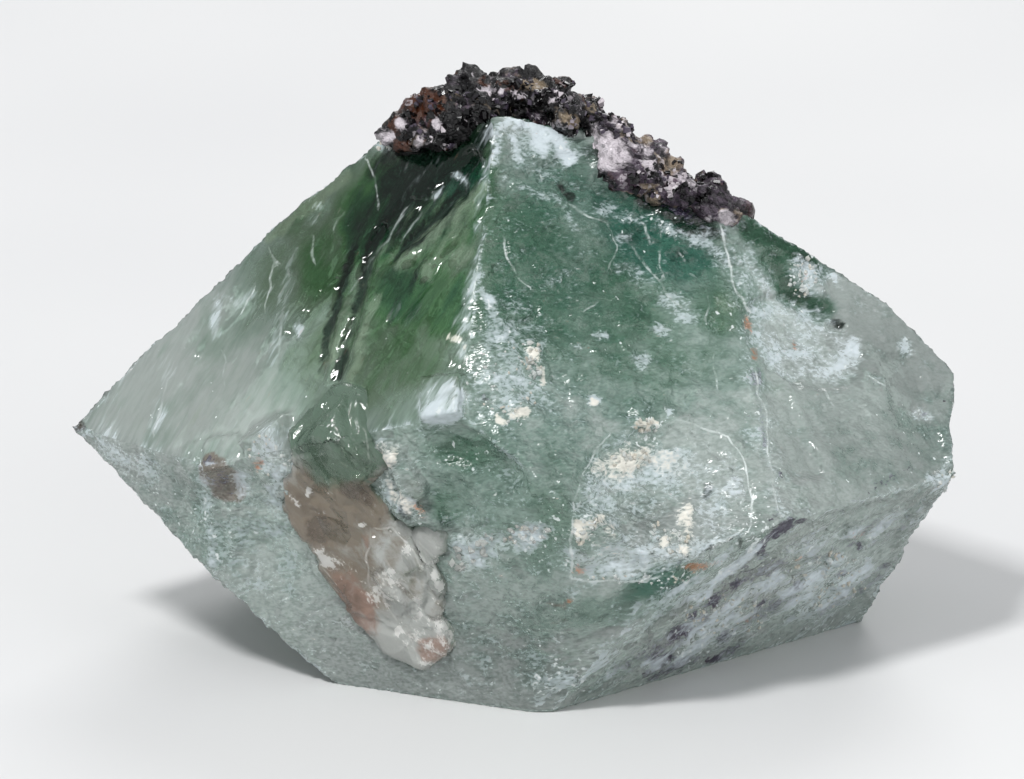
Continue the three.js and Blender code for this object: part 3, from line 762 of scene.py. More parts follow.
DENTS = (
    Dent(Patch(14.2, -9.4, 17.2, 15.2, 0, 1, 0.07), -0.55),
    Dent(Patch(27.6, 5.6, 12.4, 7.6, -30, 1, 0.08), -0.45),
    Dent(Patch(23.6, 10.6, 4.4, 8.0, 16, 1, 0.2), -0.22),
    Dent(Stroke(((24.8, 13.6), (26.6, 10.0), (29.6, 8.4)), 1.6, 1, 0.4), -0.45),
    Dent(Stroke(((-12.1, -3.9), (-11.9, -6.7), (-11.0, -9.3), (-8.9, -11.0)), 1.8, 1, 0.5), 0.45),
    Dent(Stroke(((-9.0, -11.9), (-6.8, -12.8), (-4.2, -12.4)), 0.9, 1, 0.5), -0.45),
    Dent(Stroke(((-12.3, 16.4), (-14.1, 10.8), (-15.6, 5.5), (-16.6, 1.9)), 1.0, 1, 0.5), -0.45),
    Dent(Stroke(((-15.6, 12.3), (-16.9, 8.3), (-18.1, 2.7)), 0.9, 1, 0.5), -0.3),
    Dent(Stroke(((-4.9, 19.5), (-8.0, 16.4), (-11.0, 13.4)), 1.1, 1, 0.5), -0.5),
    Dent(Stroke(((-2.9, 20.0), (-6.7, 16.4), (-10.5, 12.9)), 1.6, 1, 0.3), 0.28),
    Dent(Stroke(((-9.2, 18.0), (-13.6, 12.4)), 0.9, 1, 0.5), 0.25),
    Dent(Patch(-9.6, 13.6, 2.6, 1.1, 48, 1, 0.3), 0.3),
    Dent(Patch(-8.0, 12.1, 2.4, 1.7, 45, 1, 0.3), 0.25),
    Dent(Patch(-4.7, 13.7, 2.7, 2.2, 40, 1, 0.3), -0.25),
    Dent(Patch(-7.1, 19.6, 2.0, 0.9, 38, 1, 0.4), 0.25),
    Dent(Patch(1.6, 25.4, 6.0, 6.0, 0, 1, 0.5), 0.12),
    Dent(Stroke(((-0.9, 20.4), (3.9, 19.1), (4.8, 18.4)), 1.0, 1, 0.6), 0.18),
    Dent(Stroke(((4.6, 20.2), (5.5, 18.9)), 0.7, 1, 0.5), -0.35),
    Dent(Stroke(((8.6, 17.8), (13.3, 16.9), (17.3, 15.3), (19.9, 14.0)), 1.2, 1, 0.6), 0.2),
    Dent(Patch(5.7, 16.8, 2.4, 1.1, -48, 1, 0.3), 0.22),
    Dent(Patch(0.0, 3.6, 7.5, 9.5, 20, 1, 0.4), 0.16),
    Dent(Patch(1.9, 4.3, 1.5, 2.4, 20, 1, 0.4), 0.4),
    Dent(Patch(2.8, 2.4, 1.2, 2.4, 20, 1, 0.4), 0.35),
    Dent(Patch(-5.2, 5.9, 1.8, 1.8, 0, 1, 0.8), 0.1),
    Dent(Patch(0.9, -1.0, 2.4, 1.6, 0, 1, 0.4), 0.3),
    Dent(Patch(-2.6, 0.2, 1.4, 0.9, -20, 1, 0.4), -0.45),
    Dent(Patch(-5.9, -4.2, 4.6, 2.6, -20, 1, 0.4), -0.5),
    Dent(Patch(-2.0, -6.4, 6, 4, 0, 1, 0.7), -0.3),
    Dent(Patch(12.6, -2.2, 2.8, 1.1, -14, 1, 0.4), 0.4),
    Dent(Patch(11.0, -5.5, 4.6, 2.0, 16, 1, 0.4), 0.35),
    Dent(Patch(6.4, -12.0, 1.3, 2.5, 0, 1, 0.4), 0.45),
    Dent(Patch(8.6, -12.1, 2.0, 2.0, 0, 1, 0.4), 0.3),
    Dent(Patch(8.6, -12.1, 0.9, 0.9, 0, 1, 0.5), -0.35),
    Dent(Patch(14.3, -13.4, 1.4, 1.3, 0, 1, 0.4), 0.45),
    Dent(Patch(16.5, -11.2, 1.8, 3.8, -12, 1, 0.4), 0.3),
    Dent(Patch(20.8, -8.4, 2.6, 2.8, 0, 1, 0.3), 0.25),
    Dent(Patch(13.4, -17.6, 8, 2.6, 22, 1, 0.3), -0.35),
    Dent(Patch(31.0, 7.2, 1.6, 1.0, 0, 1, 0.4), -0.5),
    Dent(Patch(30.0, -17.6, 7, 5, 36, 1, 0.5), 0.25),
    Dent(Patch(25.4, -12.0, 3.6, 1.5, 34, 1, 0.5), -0.25),
    Dent(Patch(15.9, -22.0, 2.7, 1.5, 26, 1, 0.5), -0.25),
    Dent(Patch(-27.0, -7.6, 3.2, 4.2, 6, 1, 0.2), -0.18),
)

# Where the rock on the crown isn't black
RIND_MARKS: dict[Mark, Shapes] = {
    Mark.EARTH: (
        Patch(-8.2, 27.8, 4.2, 3.6, 30, 1.0),
        Patch(7.4, 29.2, 2.4, 1.4, -20, 0.8),
        Patch(11.0, 20.6, 4.0, 2.0, -30, 0.7),
        Patch(-2.6, 23.6, 2.0, 1.0, 40, 0.4),
    ),
    Mark.VIOLET: (
        Patch(11.2, 20.6, 6, 3, -40, 0.8),
        Patch(14.9, 19.4, 2.4, 1.5, -10, 0.9),
        Patch(2.6, 26.8, 2.2, 1.2, -40, 0.6),
    ),
    Mark.RUST: (
        Patch(2.0, 29.9, 3.4, 1.1, 0, 0.85),
        Patch(7.3, 29.6, 2.0, 1.0, -20, 0.7),
        Patch(5.4, 26.6, 2.8, 1.5, -35, 0.8),
        Patch(14.9, 22.3, 2.6, 2.2, -30, 0.75),
        Patch(15.4, 17.8, 2.4, 1.0, -10, 0.7),
        Patch(12.4, 24.8, 2.0, 1.4, -30, 0.7),
        Patch(20.0, 17.8, 1.0, 0.8, 0, 0.9),
        Patch(-5.6, 28.8, 2.0, 1.4, 40, 0.45),
    ),
    Mark.FROST: (
        Patch(9.0, 23.5, 4.6, 3.4, -28, 1.0, 0.4),
        Patch(8.4, 25.2, 3.4, 1.6, -30, 0.8),
        Patch(12.6, 23.4, 2.4, 1.6, -40, 0.6),
        Patch(20.4, 17.4, 1.8, 1.2, -20, 1.0),
        Patch(-10.5, 26.0, 1.2, 1.6, 20, 0.85),
        Patch(-12.0, 24.8, 2.2, 1.6, 20, 0.85),
        Patch(-7.1, 26.1, 1.1, 1.2, 20, 0.85),
        Patch(-8.6, 24.7, 0.9, 2.2, -20, 0.55),
        Patch(4.1, 28.4, 1.2, 0.5, 10, 0.85),
        Patch(-3.0, 24.4, 1.6, 0.6, 40, 0.6),
        Patch(16.2, 20.8, 3.0, 0.8, -40, 0.6),
        Stroke(((-3.1, 29.4), (0.6, 29.1), (2.0, 28.4)), 0.5, 0.85),
        Stroke(((5.6, 25.2), (8.4, 22.2)), 0.9, 0.7),
    ),
}

# Where the small crystals are smoky, stained and bruised
CLUSTER_MARKS: dict[Mark, Shapes] = {
    Mark.GREEN: (
        Patch(-16.0, -2.8, 11.0, 10.5, -30, 1.1, 0.3),
        Patch(-8.0, -17.0, 7, 8, 0, 0.42),
        Patch(-5.4, -16.6, 3.0, 8.0, 10, 0.62),
    ),
    Mark.VIOLET: (
        Patch(-16.6, -9.8, 11.0, 10.5, 20, 1.0, 0.4),
        Patch(-15.5, -16, 7.0, 11.0, 24, 0.75),
        Patch(-9.4, -15.5, 3.0, 5.0, 0, 0.35),
        Patch(-11.2, -14.4, 2.0, 3.6, -20, 0.62, 0.5),
        Patch(-9.0, -17.4, 1.8, 3.6, -20, 0.58, 0.5),
        Patch(-7.0, -19.6, 1.6, 2.6, -20, 0.52, 0.5),
    ),
    Mark.EARTH: (
        Patch(-14.6, -8.7, 4.4, 2.2, -30, 0.8),
        Patch(-18.2, -12.2, 3.0, 3.6, 0, 0.75),
        Patch(-19.6, -9.6, 1.4, 3.4, 0, 0.55),
        Patch(-15.2, -19.4, 2.4, 6.0, 30, 0.62),
        Stroke(((-12.4, -13.6), (-12.0, -15.8)), 1.0, 0.52),
        Stroke(((-10.6, -17.2), (-9.8, -19.4)), 1.0, 0.58),
        Stroke(((-7.9, -17.4), (-7.0, -19.6)), 0.9, 0.54),
        Stroke(((-10.6, -20.4), (-9.2, -22.8)), 0.9, 0.5),
    ),
    Mark.RUST: (
        Patch(-14.8, -19.4, 3.4, 7.6, 32, 0.9),
        Patch(-13.4, -20.4, 1.2, 1.6, 20, 1.0),
        Patch(-7.5, -23.6, 3.2, 2.8, 0, 0.95),
        Patch(-13.8, -13.0, 1.0, 3.0, 0, 0.6),
        Patch(-12.4, -13.4, 1.0, 2.4, -20, 0.5),
    ),
    Mark.FROST: (
        Patch(-19.1, -8.5, 0.8, 0.7, -40, 1.0),
        Patch(-20.0, -10.0, 0.6, 0.7, 0, 1.0),
        Patch(-14.1, -11.8, 1.1, 0.6, 0, 1.0),
        Patch(-11.5, -16.3, 0.9, 0.6, -30, 1.0),
        Patch(-12.2, -17.6, 3.4, 3.4, 0, 0.62),
        Patch(-17.6, -15.0, 2.6, 1.6, -30, 0.66),
        Patch(-8.8, -18.9, 1.5, 0.9, -30, 1.05),
        Patch(-10.0, -14.2, 0.9, 1.6, 30, 0.95),
        Patch(-6.9, -17.6, 0.9, 1.4, -20, 0.9),
        Patch(-10.6, -21.6, 0.8, 1.6, -30, 0.9),
        Patch(-7.0, -16.2, 3.6, 3.6, 0, 0.52),
        Patch(-8.8, -20.2, 1.0, 2.0, -30, 0.85),
        Patch(-6.6, -20.6, 3.2, 2.8, 0, 0.58),
        Patch(-8.2, -21.8, 7.0, 7.0, 0, 0.42, 0.7),
        Patch(-7.9, -25.0, 3.0, 0.8, -10, 0.8),
        Patch(-5.4, -22.4, 2.4, 1.8, 0, 0.5),
    ),
}

CLUSTER_LINES = (
    Hairline((-13.2, -12.2), (-13.7, -14.8), (-13.3, -17.6)),
    Hairline((-12.8, -12.0), (-11.2, -12.0), (-10.0, -13.4), strength=0.95),
    Hairline((-12.0, -14.8), (-11.2, -16.6), strength=0.95),
    Hairline((-8.9, -13.2), (-7.6, -14.4), (-6.8, -15.6), strength=0.9),
    Hairline((-9.6, -22.4), (-9.0, -24.6), (-7.6, -25.4), strength=0.9),
    Hairline((-15.8, -0.6), (-13.6, -3.0), (-13.4, -5.4), strength=0.84),
    Hairline((-18.4, -14.8), (-17.2, -16.8), strength=0.9),
    Hairline((-10.0, -13.4), (-8.6, -15.2), (-7.5, -16.8), strength=0.95),
    Hairline((-13.3, -17.6), (-11.4, -20.0), (-9.6, -22.4), strength=0.93),
    Hairline((-11.2, -16.6), (-9.4, -18.4), (-8.6, -20.6), strength=0.93),
    Hairline((-8.4, -17.6), (-6.8, -19.2), (-6.2, -21.0), strength=0.9),
)


# Small tools


def sample(source: Callable[[Vector], float], points: np.ndarray, cell: float) -> np.ndarray:
    """Reads a noise at each point.

    Args:
        source: The noise, of a Vector.
        points: Places in millimetres.
        cell: The size of the noise in millimetres.

    Returns:
        One value for each point.
    """
    return np.array([source(Vector(point)) for point in (points / cell).tolist()])


def smooth_noise(point: Vector) -> float:
    """Rounded bumps, about -1 to 1."""
    return noise.noise(point)


def rough_noise(point: Vector) -> float:
    """Bumps with finer bumps on them, about -1 to 1."""
    return noise.fractal(point, 0.8, 2.1, 4)


def wandering(places: np.ndarray, cell: float, shifts: Spot = (0.0, 31.0)) -> np.ndarray:
    """Pushes across and up, so that no mark has an even edge.

    Args:
        places: Places of the front view, in millimetres.
        cell: The size of the noise in millimetres.
        shifts: Where in the noise the two pushes are read.

    Returns:
        Two values for each place, about -1 to 1.
    """
    return np.stack([sample(smooth_noise, places + shift, cell) for shift in shifts], axis=1)


def leaning_facets(places: np.ndarray, cell: float) -> np.ndarray:
    """Heights of small facets that each lean toward one of the crystal's cleavage faces.

    Args:
        places: Places of the front view, in millimetres.
        cell: The width of a facet in millimetres.

    Returns:
        About -1 to 1 for each place.
    """
    leans = [Vector(FACETS[i].facing) for i in (0, 1, 2, 3)]
    heights = np.empty(len(places))
    for index, place in enumerate((places / cell).tolist()):
        spot = Vector(place)
        middle = noise.voronoi(spot)[1][0]
        lean = leans[int(noise.cell(middle * 5.3) * 3.999) % 4]
        heights[index] = (spot - middle).dot(lean)
    return np.clip(heights * 1.8, -1.2, 1.2)


def in_scene(label: str, data: bpy.types.ID) -> bpy.types.Object:
    """Puts a mesh, a light or a camera into the scene.

    Args:
        label: The object's name.
        data: What it shows.

    Returns:
        The object.
    """
    made = bpy.data.objects.new(label, data)
    bpy.context.collection.objects.link(made)
    return made


def node_copy(name: str, label: str) -> bpy.types.Object:
    """Copies a CAD node into an object of its own, with its loose triangles joined.

    Args:
        name: The CAD node.
        label: The name of the copy.

    Returns:
        The copy, at the origin.
    """
    shape = bmesh.new()
    shape.from_mesh(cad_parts[name].data)
    bmesh.ops.remove_doubles(shape, verts=shape.verts, dist=1e-7)
    mesh = bpy.data.meshes.new(label)
    shape.to_mesh(mesh)
    shape.free()
    return in_scene(label, mesh)


def remesh(piece: bpy.types.Object, voxel: float) -> None:
    """Rebuilds a closed piece from even small faces.

    Args:
        piece: The object to rebuild.
        voxel: The size of a face in millimetres.
    """
    modifier = piece.modifiers.new("even_faces", "REMESH")
    modifier.mode = "VOXEL"
    modifier.voxel_size = voxel * MM
    bpy.context.view_layer.update()
    depsgraph = bpy.context.evaluated_depsgraph_get()
    even = bpy.data.meshes.new_from_object(piece.evaluated_get(depsgraph))
    piece.modifiers.clear()
    piece.data = even


def read_points(mesh: bpy.types.Mesh, normals: bool = False) -> np.ndarray:
    """The positions of a mesh's vertices, or their normals, one row each.

    Args:
        mesh: The mesh.
        normals: Whether the normals are wanted.

    Returns:
        The rows, in metres for positions.
    """
    values = np.zeros(len(mesh.vertices) * 3, np.float32)
    mesh.vertices.foreach_get("normal" if normals else "co", values)
    return values.reshape(-1, 3).astype(float)


def write_points(mesh: bpy.types.Mesh, points: np.ndarray) -> None:
    """Moves a mesh's vertices to the given positions."""
    mesh.vertices.foreach_set("co", points.astype(np.float32).ravel())
    mesh.update()


def write_mark(mesh: bpy.types.Mesh, mark: Mark, values: np.ndarray) -> None:
    """Keeps the strength of a mark at each vertex in an attribute of the mesh."""
    attribute = mesh.attributes.new(mark.value, "FLOAT", "POINT")
    attribute.data.foreach_set("value", np.clip(values, 0, 1).astype(np.float32))


def shade_smooth(mesh: bpy.types.Mesh) -> None:
    """Lets the light run smoothly over the small faces."""
    mesh.polygons.foreach_set("use_smooth", [True] * len(mesh.polygons))


def linear(colour: str, alpha: float = 1.0) -> tuple[float, float, float, float]:
    """Turns an sRGB hex colour into linear red, green, blue and alpha.

    Args:
        colour: The colour, such as #A0B0C0.
        alpha: The alpha that it gets.

    Returns:
        The four numbers.
    """
    parts = [int(colour[i : i + 2], 16) / 255 for i in (1, 3, 5)]
    red, green, blue = (c / 12.92 if c <= 0.04045 else ((c + 0.055) / 1.055) ** 2.4 for c in parts)
    return red, green, blue, alpha


def fitting(size: float) -> float:
    """The scale that makes a texture's bumps a size in millimetres."""
    return 1 / (size * MM)


class Kind(Enum):
    """The kinds of node that the finishes are made of."""

    PLACE = "ShaderNodeTexCoord"
    TURN = "ShaderNodeMapping"
    MARK = "ShaderNodeAttribute"
    CLOUDS = "ShaderNodeTexNoise"
    CELLS = "ShaderNodeTexVoronoi"
    ARROW = "ShaderNodeVectorMath"
    PARTS = "ShaderNodeSeparateColor"
    SUM = "ShaderNodeMath"
    STEP = "ShaderNodeMapRange"
    MIX = "ShaderNodeMix"
    ZONES = "ShaderNodeValToRGB"
    RELIEF = "ShaderNodeBump"
    SKIN = "ShaderNodeBsdfPrincipled"
    DEPTH = "ShaderNodeVolumeAbsorption"
    OUTPUT = "ShaderNodeOutputMaterial"


# What a sum, a step or a mix does
PLUS = {"operation": "ADD"}
MINUS = {"operation": "SUBTRACT"}
TIMES = {"operation": "MULTIPLY"}
TIMES_PLUS = {"operation": "MULTIPLY_ADD"}
LARGER = {"operation": "MAXIMUM"}
SMOOTH = {"interpolation_type": "SMOOTHSTEP"}
NUMBERS = {"data_type": "FLOAT"}
PLACES = {"data_type": "VECTOR"}
COLOURS = {"data_type": "RGBA"}

Feed = dict[str | int, object]
Socket = bpy.types.NodeSocket


class Shader:
    """A material's node tree, with the few patterns of nodes that every finish here shares."""

    def __init__(self, name: str) -> None:
        """Starts an empty material.

        Args:
            name: The material's name.
        """
        self.material = bpy.data.materials.new(name)
        self.material.use_nodes = True
        self.tree = self.material.node_tree
        self.tree.nodes.clear()
        self.where = self.add(Kind.PLACE).node.outputs["Object"]

    def add(self, kind: Kind, settings: Feed | None = None, inputs: Feed | None = None) -> Socket:
        """Adds one node, with its settings and what goes into it.

        Args:
            kind: The kind of node.
            settings: The node's properties.
            inputs: A value or an output socket for each named or numbered input.

        Returns:
            The first output that the node has in use.
        """
        made = self.tree.nodes.new(kind.value)
        for name, value in (settings or {}).items():
            setattr(made, name, value)
        for key, value in (inputs or {}).items():
            if isinstance(value, Socket):
                self.tree.links.new(value, made.inputs[key])
            else:
                made.inputs[key].default_value = value
        return next((output for output in made.outputs if output.enabled), None)

    def swung(self, value: object, *swings: tuple[object, object]) -> Socket:
        """Moves a value up and down by textures about 0.5.

        Args:
            value: The value.
            swings: Each texture, and how far it moves the value.

        Returns:
            The moved value.
        """
        for texture, amount in swings:
            middled = self.add(Kind.SUM, MINUS, {0: texture, 1: 0.5})
            value = self.add(Kind.SUM, TIMES_PLUS, {0: middled, 1: amount, 2: value})
        return value

    def felt(self, mark: Mark, *swings: tuple[object, object]) -> Socket:
        """How strongly a mark of the mesh is felt.

        Args:
            mark: The mark.
            swings: Each texture that breaks it up, and how far.

        Returns:
            The strength, moved up and down by the textures.
        """
        painted_on = self.add(Kind.MARK, {"attribute_name": mark.value}).node.outputs["Fac"]
        return self.swung(painted_on, *swings)

    def stain(self, colour: object, tint: str, strength: object, reach: Triple) -> Socket:
        """Stains a colour where a strength is high enough.

        Args:
            colour: The colour.
            tint: The stain's hex colour.
            strength: How strong the stain is.
            reach: The strengths where it starts and where it is full, and how well it then covers.

        Returns:
            The stained colour.
        """
        low, high, top = reach
        share = self.add(Kind.STEP, SMOOTH, {0: strength, 1: low, 2: high, 3: 0, 4: top})
        return self.add(Kind.MIX, COLOURS, {0: share, 6: colour, 7: linear(tint)})

    def along(self, way: Triple, stretch: float, size: float = 1.0) -> Socket:
        """Coordinates that draw a pattern out along a direction of the front view.

        Args:
            way: The direction, across, up and toward.
            stretch: How many times longer the pattern gets.
            size: How many times larger it gets in all.

        Returns:
            The coordinates.
        """
        turn = VIEW.aim(way).to_track_quat("X", "Z").to_euler()
        inputs = {"Vector": self.where, "Rotation": turn, "Scale": (stretch * size, size, size)}
        return self.add(Kind.TURN, {"vector_type": "TEXTURE"}, inputs)

    def pick(self, share: object, first: object, second: object) -> Socket:
        """Takes the second coordinates where share is over a half, and the first elsewhere."""
        over = self.add(Kind.SUM, {"operation": "GREATER_THAN"}, {0: share, 1: 0.5})
        return self.add(Kind.MIX, PLACES, {0: over, 4: first, 5: second})

    def facets(self, size: float, where: Socket | None = None) -> tuple:
        """Flat facets that each lean a way of their own.

        Args:
            size: The width of a facet in millimetres.
            where: Coordinates, or nothing for the object's own.

        Returns:
            The height, about -0.5 to 0.5, and a number from 0 to 1 for each facet.
        """
        spot = where or self.where
        cells = self.add(Kind.CELLS, None, {"Vector": spot, "Scale": fitting(size)}).node.outputs
        offset = self.add(Kind.ARROW, MINUS, {0: spot, 1: cells["Position"]})
        lean = self.add(Kind.ARROW, MINUS, {0: cells["Color"], 1: (0.5, 0.5, 0.5)})
        slope = self.add(Kind.ARROW, {"operation": "DOT_PRODUCT"}, {0: offset, 1: lean})
        height = self.add(Kind.SUM, TIMES, {0: slope, 1: 2 * fitting(size)})
        return height, self.add(Kind.PARTS, None, {"Color": cells["Color"]})

    def hairlines(self, texture: Socket) -> Socket:
        """The thin lines of the mesh.

        Args:
            texture: The noise about 0.5 that breaks them up a little.

        Returns:
            Their cover, from 0 to 1.
        """
        beside = self.add(Kind.SUM, MINUS, {0: self.felt(Mark.SIDE), 1: 0.5})
        off = self.add(Kind.SUM, {"operation": "ABSOLUTE"}, {0: beside})
        thin = {0: off, 1: HAIR_EDGE / (2 * HAIR_REACH), 2: HAIR_CORE / (2 * HAIR_REACH), 3: 0, 4: 1}
        strong = {0: self.felt(Mark.LINE, (texture, 1.6)), 1: 0.62, 2: 1.3, 3: 0, 4: 1}
        shares = {0: self.add(Kind.STEP, SMOOTH, thin), 1: self.add(Kind.STEP, SMOOTH, strong)}
        return self.add(Kind.SUM, TIMES, shares)

    def finish(self, volume: Socket | None = None, **inputs: object) -> bpy.types.Material:
        """Ends the tree in a Principled shader, and a volume where there is one.

        Args:
            volume: A volume shader, or nothing.
            inputs: The Principled shader's inputs, with _ for a space.

        Returns:
            The finished material.
        """
        values = {name.replace("_", " "): value for name, value in inputs.items()}
        ends = {"Surface": self.add(Kind.SKIN, None, values)}
        if volume:
            ends["Volume"] = volume
        self.add(Kind.OUTPUT, None, ends)
        return self.material


# Finishes


@dataclass(frozen=True)
class RoughFluorite:
    """Green fluorite as it was cleaved and broken out of the rock.

    Fluorite is glassy and clear, so the eye sees into the green zones. Where it was bruised or
    scratched it scatters white, and small cleavage facets catch the light. On the window, pale
    green slivers are painted highlights and long dark streaks are painted reflections of the
    dark crust, and some of the bright flecks are painted glints.
    """

    greens: tuple[tuple[float, str], ...] = (
        (0.00, "#C8D2CE"),
        (0.20, "#9EB3AA"),
        (0.42, "#708D7D"),
        (0.60, "#48715A"),
        (0.78, "#28543C"),
        (1.00, "#0F2A1C"),
    )
    window_greens: tuple[tuple[float, str], ...] = (
        (0.00, "#C6CFCA"),
        (0.20, "#9FB3A6"),
        (0.42, "#758F73"),
        (0.60, "#4A7C47"),
        (0.78, "#285A34"),
        (1.00, "#0F2A1A"),
    )
    teal: str = "#276556"
    # near-black of the deep green, and of the painted reflections and painted shade
    deep_green_and_painted_dark: str = "#0A1F15"
    # pale green of the painted highlights
    gleam: str = "#A5BB9D"
    shadow: str = "#6C7F77"
    frost: str = "#D3DDE3"
    line: str = "#E4EAEA"
    chalk: str = "#E9E5DA"
    rust: str = "#BC7A50"
    earth: str = "#8A7468"
    violet: str = "#3A2548"
    refraction: float = 1.434
    fine: float = 0.3  # millimetres, single grains
    mottle: float = 1.9  # clouds in the frosted skin
    # size of the bright flecks, which are partly painted glints
    fleck: float = 0.6  # bright flecks
    skin: float = 0.8  # bumps of the skin
    relief: float = 0.38  # height of those bumps
    drift: float = 6.5  # whole zones
    depth: str = "#A9CDB4"
    density: float = 12.0
    level: Triple = (1.0, 0.12, 0.0)
    steep: Triple = (-0.5, -0.866, 0.12)
    slant: Triple = (0.83, 0.56, 0.0)

    def grain_way(self, s: Shader, window: Socket) -> Socket:
        """The coordinates that draw every pattern out along the grain of each face.

        Args:
            s: The material's shader.
            window: Where the cleaved window is.

        Returns:
            The coordinates.
        """
        level = s.along(self.level, 2.0)
        steep = s.along(self.steep, 5.0, 1.5)
        slant = s.along(self.slant, 3.2, 0.75)
        return s.pick(s.felt(Mark.STRIATED), s.pick(window, level, steep), slant)

    def zones(self, s: Shader, tone: object, window: object) -> Socket:
        """The green of each zone, by a ramp for the window and one for the other faces.

        Args:
            s: The material's shader.
            tone: How deep the green is, from 0 to 1.
            window: Where the cleaved window is.

        Returns:
            The colour.
        """
        greens = []
        for stops in (self.greens, self.window_greens):
            ramp = s.add(Kind.ZONES, None, {"Fac": tone})
            elements = ramp.node.color_ramp.elements
            while len(elements) < len(stops):
                elements.new(0.5)
            for element, (position, colour) in zip(elements, stops):
                element.position = position
                element.color = linear(colour)
            greens.append(ramp)
        return s.add(Kind.MIX, COLOURS, {0: window, 6: greens[0], 7: greens[1]})

    def body(self, s: Shader, coarse: object, slow: object, window: object) -> Socket:
        """Mixes the colours that lie in the stone itself.

        Args:
            s: The material's shader.
            coarse: Noise in the grain of the face.
            slow: Noise of whole zones.
            window: Where the cleaved window is.

        Returns:
            The colour.
        """
        lively = s.add(Kind.MIX, NUMBERS, {0: window, 2: 0.85, 3: 0.7})
        colour = self.zones(s, s.felt(Mark.GREEN, (slow, 0.5), (coarse, lively)), window)
        teal = s.felt(Mark.TEAL, (coarse, 0.8))
        colour = s.stain(colour, self.teal, teal, (0.1, 1.1, 0.85))
        lively = s.add(Kind.MIX, NUMBERS, {0: window, 2: 1.0, 3: -2.0})
        # Painted highlights: pale green slivers and patches laid over the greens
        gleam = s.felt(Mark.PAINTED_HIGHLIGHT, (coarse, lively))
        colour = s.stain(colour, self.gleam, gleam, (0.25, 0.9, 0.8))
        lively = s.add(Kind.MIX, NUMBERS, {0: window, 2: 1.1, 3: 2.2})
        # Deep green, with dark streaks painted as reflections and dark spots painted as shade
        deep = s.felt(Mark.DEEP_GREEN_AND_PAINTED_DARK, (coarse, lively))
        colour = s.stain(colour, self.deep_green_and_painted_dark, deep, (0.34, 0.84, 0.96))
        earth = s.felt(Mark.EARTH, (coarse, 1.2))
        return s.stain(colour, self.earth, earth, (0.25, 0.95, 0.8))

    def flecks_and_painted_glints(self, s: Shader, scuff: object, slow: object) -> Socket:
        """Single bright flecks, more of them where the skin is scuffed or frosted. They are partly white
        specks and partly painted glints.

        Args:
            s: The material's shader.
            scuff: How scuffed the skin is.
            slow: Noise of whole zones.

        Returns:
            Their cover, from 0 to 1.
        """
        single = {"Vector": s.where, "Scale": fitting(self.fleck), "Detail": 1.0, "Roughness": 0.7}
        spots = s.add(Kind.SUM, TIMES_PLUS, {0: scuff, 1: 0.13, 2: s.add(Kind.CLOUDS, None, single)})
        spots = s.add(Kind.SUM, TIMES_PLUS, {0: s.felt(Mark.FROST), 1: 0.12, 2: spots})
        spots = s.swung(spots, (slow, 0.6))
        return s.add(Kind.STEP, SMOOTH, {0: spots, 1: 0.82, 2: 0.90, 3: 0, 4: 0.9})

    def material(self) -> bpy.types.Material:
        """Builds the material.

        Returns:
            The finished material.
        """
        s = Shader("fluorite_cleaved_and_broken")
        window = s.felt(Mark.WINDOW)
        scuff = s.felt(Mark.SCUFF)
        way = self.grain_way(s, window)
        mottled = {"Vector": way, "Scale": fitting(self.mottle), "Detail": 5, "Roughness": 0.7}
        coarse = s.add(Kind.CLOUDS, None, mottled)
        grained = {"Vector": way, "Scale": fitting(self.fine), "Detail": 1, "Roughness": 0.6}
        fine = s.add(Kind.CLOUDS, None, grained)
        drifting = {"Vector": s.where, "Scale": fitting(self.drift), "Detail": 2, "Roughness": 0.55}
        slow = s.add(Kind.CLOUDS, None, drifting)
        colour = self.body(s, coarse, slow, window)
        # Fine dark grain, only where the skin is scuffed
        grain = s.add(Kind.STEP, SMOOTH, {0: fine, 1: 0.6, 2: 0.3, 3: 0, 4: 1})
        grain = s.add(Kind.SUM, TIMES, {0: grain, 1: s.add(Kind.SUM, TIMES, {0: scuff, 1: 0.55})})
        darker = {**COLOURS, "blend_type": "MULTIPLY"}
        colour = s.add(Kind.MIX, darker, {0: grain, 6: colour, 7: linear(self.shadow)})
        violet = s.felt(Mark.VIOLET, (coarse, 1.9), (fine, 1.3))
        colour = s.stain(colour, self.violet, violet, (0.5, 0.84, 0.92))
        # White that lies on the skin: frost, chalk, scratches and flecks, the flecks partly painted glints
        spread = s.add(Kind.MIX, NUMBERS, {0: s.felt(Mark.STRIATED), 2: 2.2, 3: 3.4})
        haze = s.add(Kind.SUM, TIMES_PLUS, {0: scuff, 1: 0.32, 2: s.felt(Mark.FROST)})
        haze = s.swung(haze, (coarse, spread), (fine, 1.1))
        frost = s.add(Kind.STEP, SMOOTH, {0: haze, 1: 0.24, 2: 1.15, 3: 0, 4: 0.9})
        colour = s.add(Kind.MIX, COLOURS, {0: frost, 6: colour, 7: linear(self.frost)})
        chalk = s.felt(Mark.CHALK, (coarse, 1.2), (fine, 0.8))
        chalk = s.add(Kind.STEP, SMOOTH, {0: chalk, 1: 0.38, 2: 0.8, 3: 0, 4: 1})
        cover = s.add(Kind.SUM, TIMES, {0: chalk, 1: 0.9})
        colour = s.add(Kind.MIX, COLOURS, {0: cover, 6: colour, 7: linear(self.chalk)})
        colour = s.stain(colour, self.rust, s.felt(Mark.RUST, (fine, 1.4)), (0.25, 0.9, 0.85))
        line = s.add(Kind.SUM, TIMES, {0: s.hairlines(coarse), 1: 0.95})
        # Bright flecks, partly white specks and partly painted glints
        bright = s.add(Kind.SUM, LARGER, {0: line, 1: self.flecks_and_painted_glints(s, scuff, slow)})
        colour = s.add(Kind.MIX, COLOURS, {0: bright, 6: colour, 7: linear(self.line)})
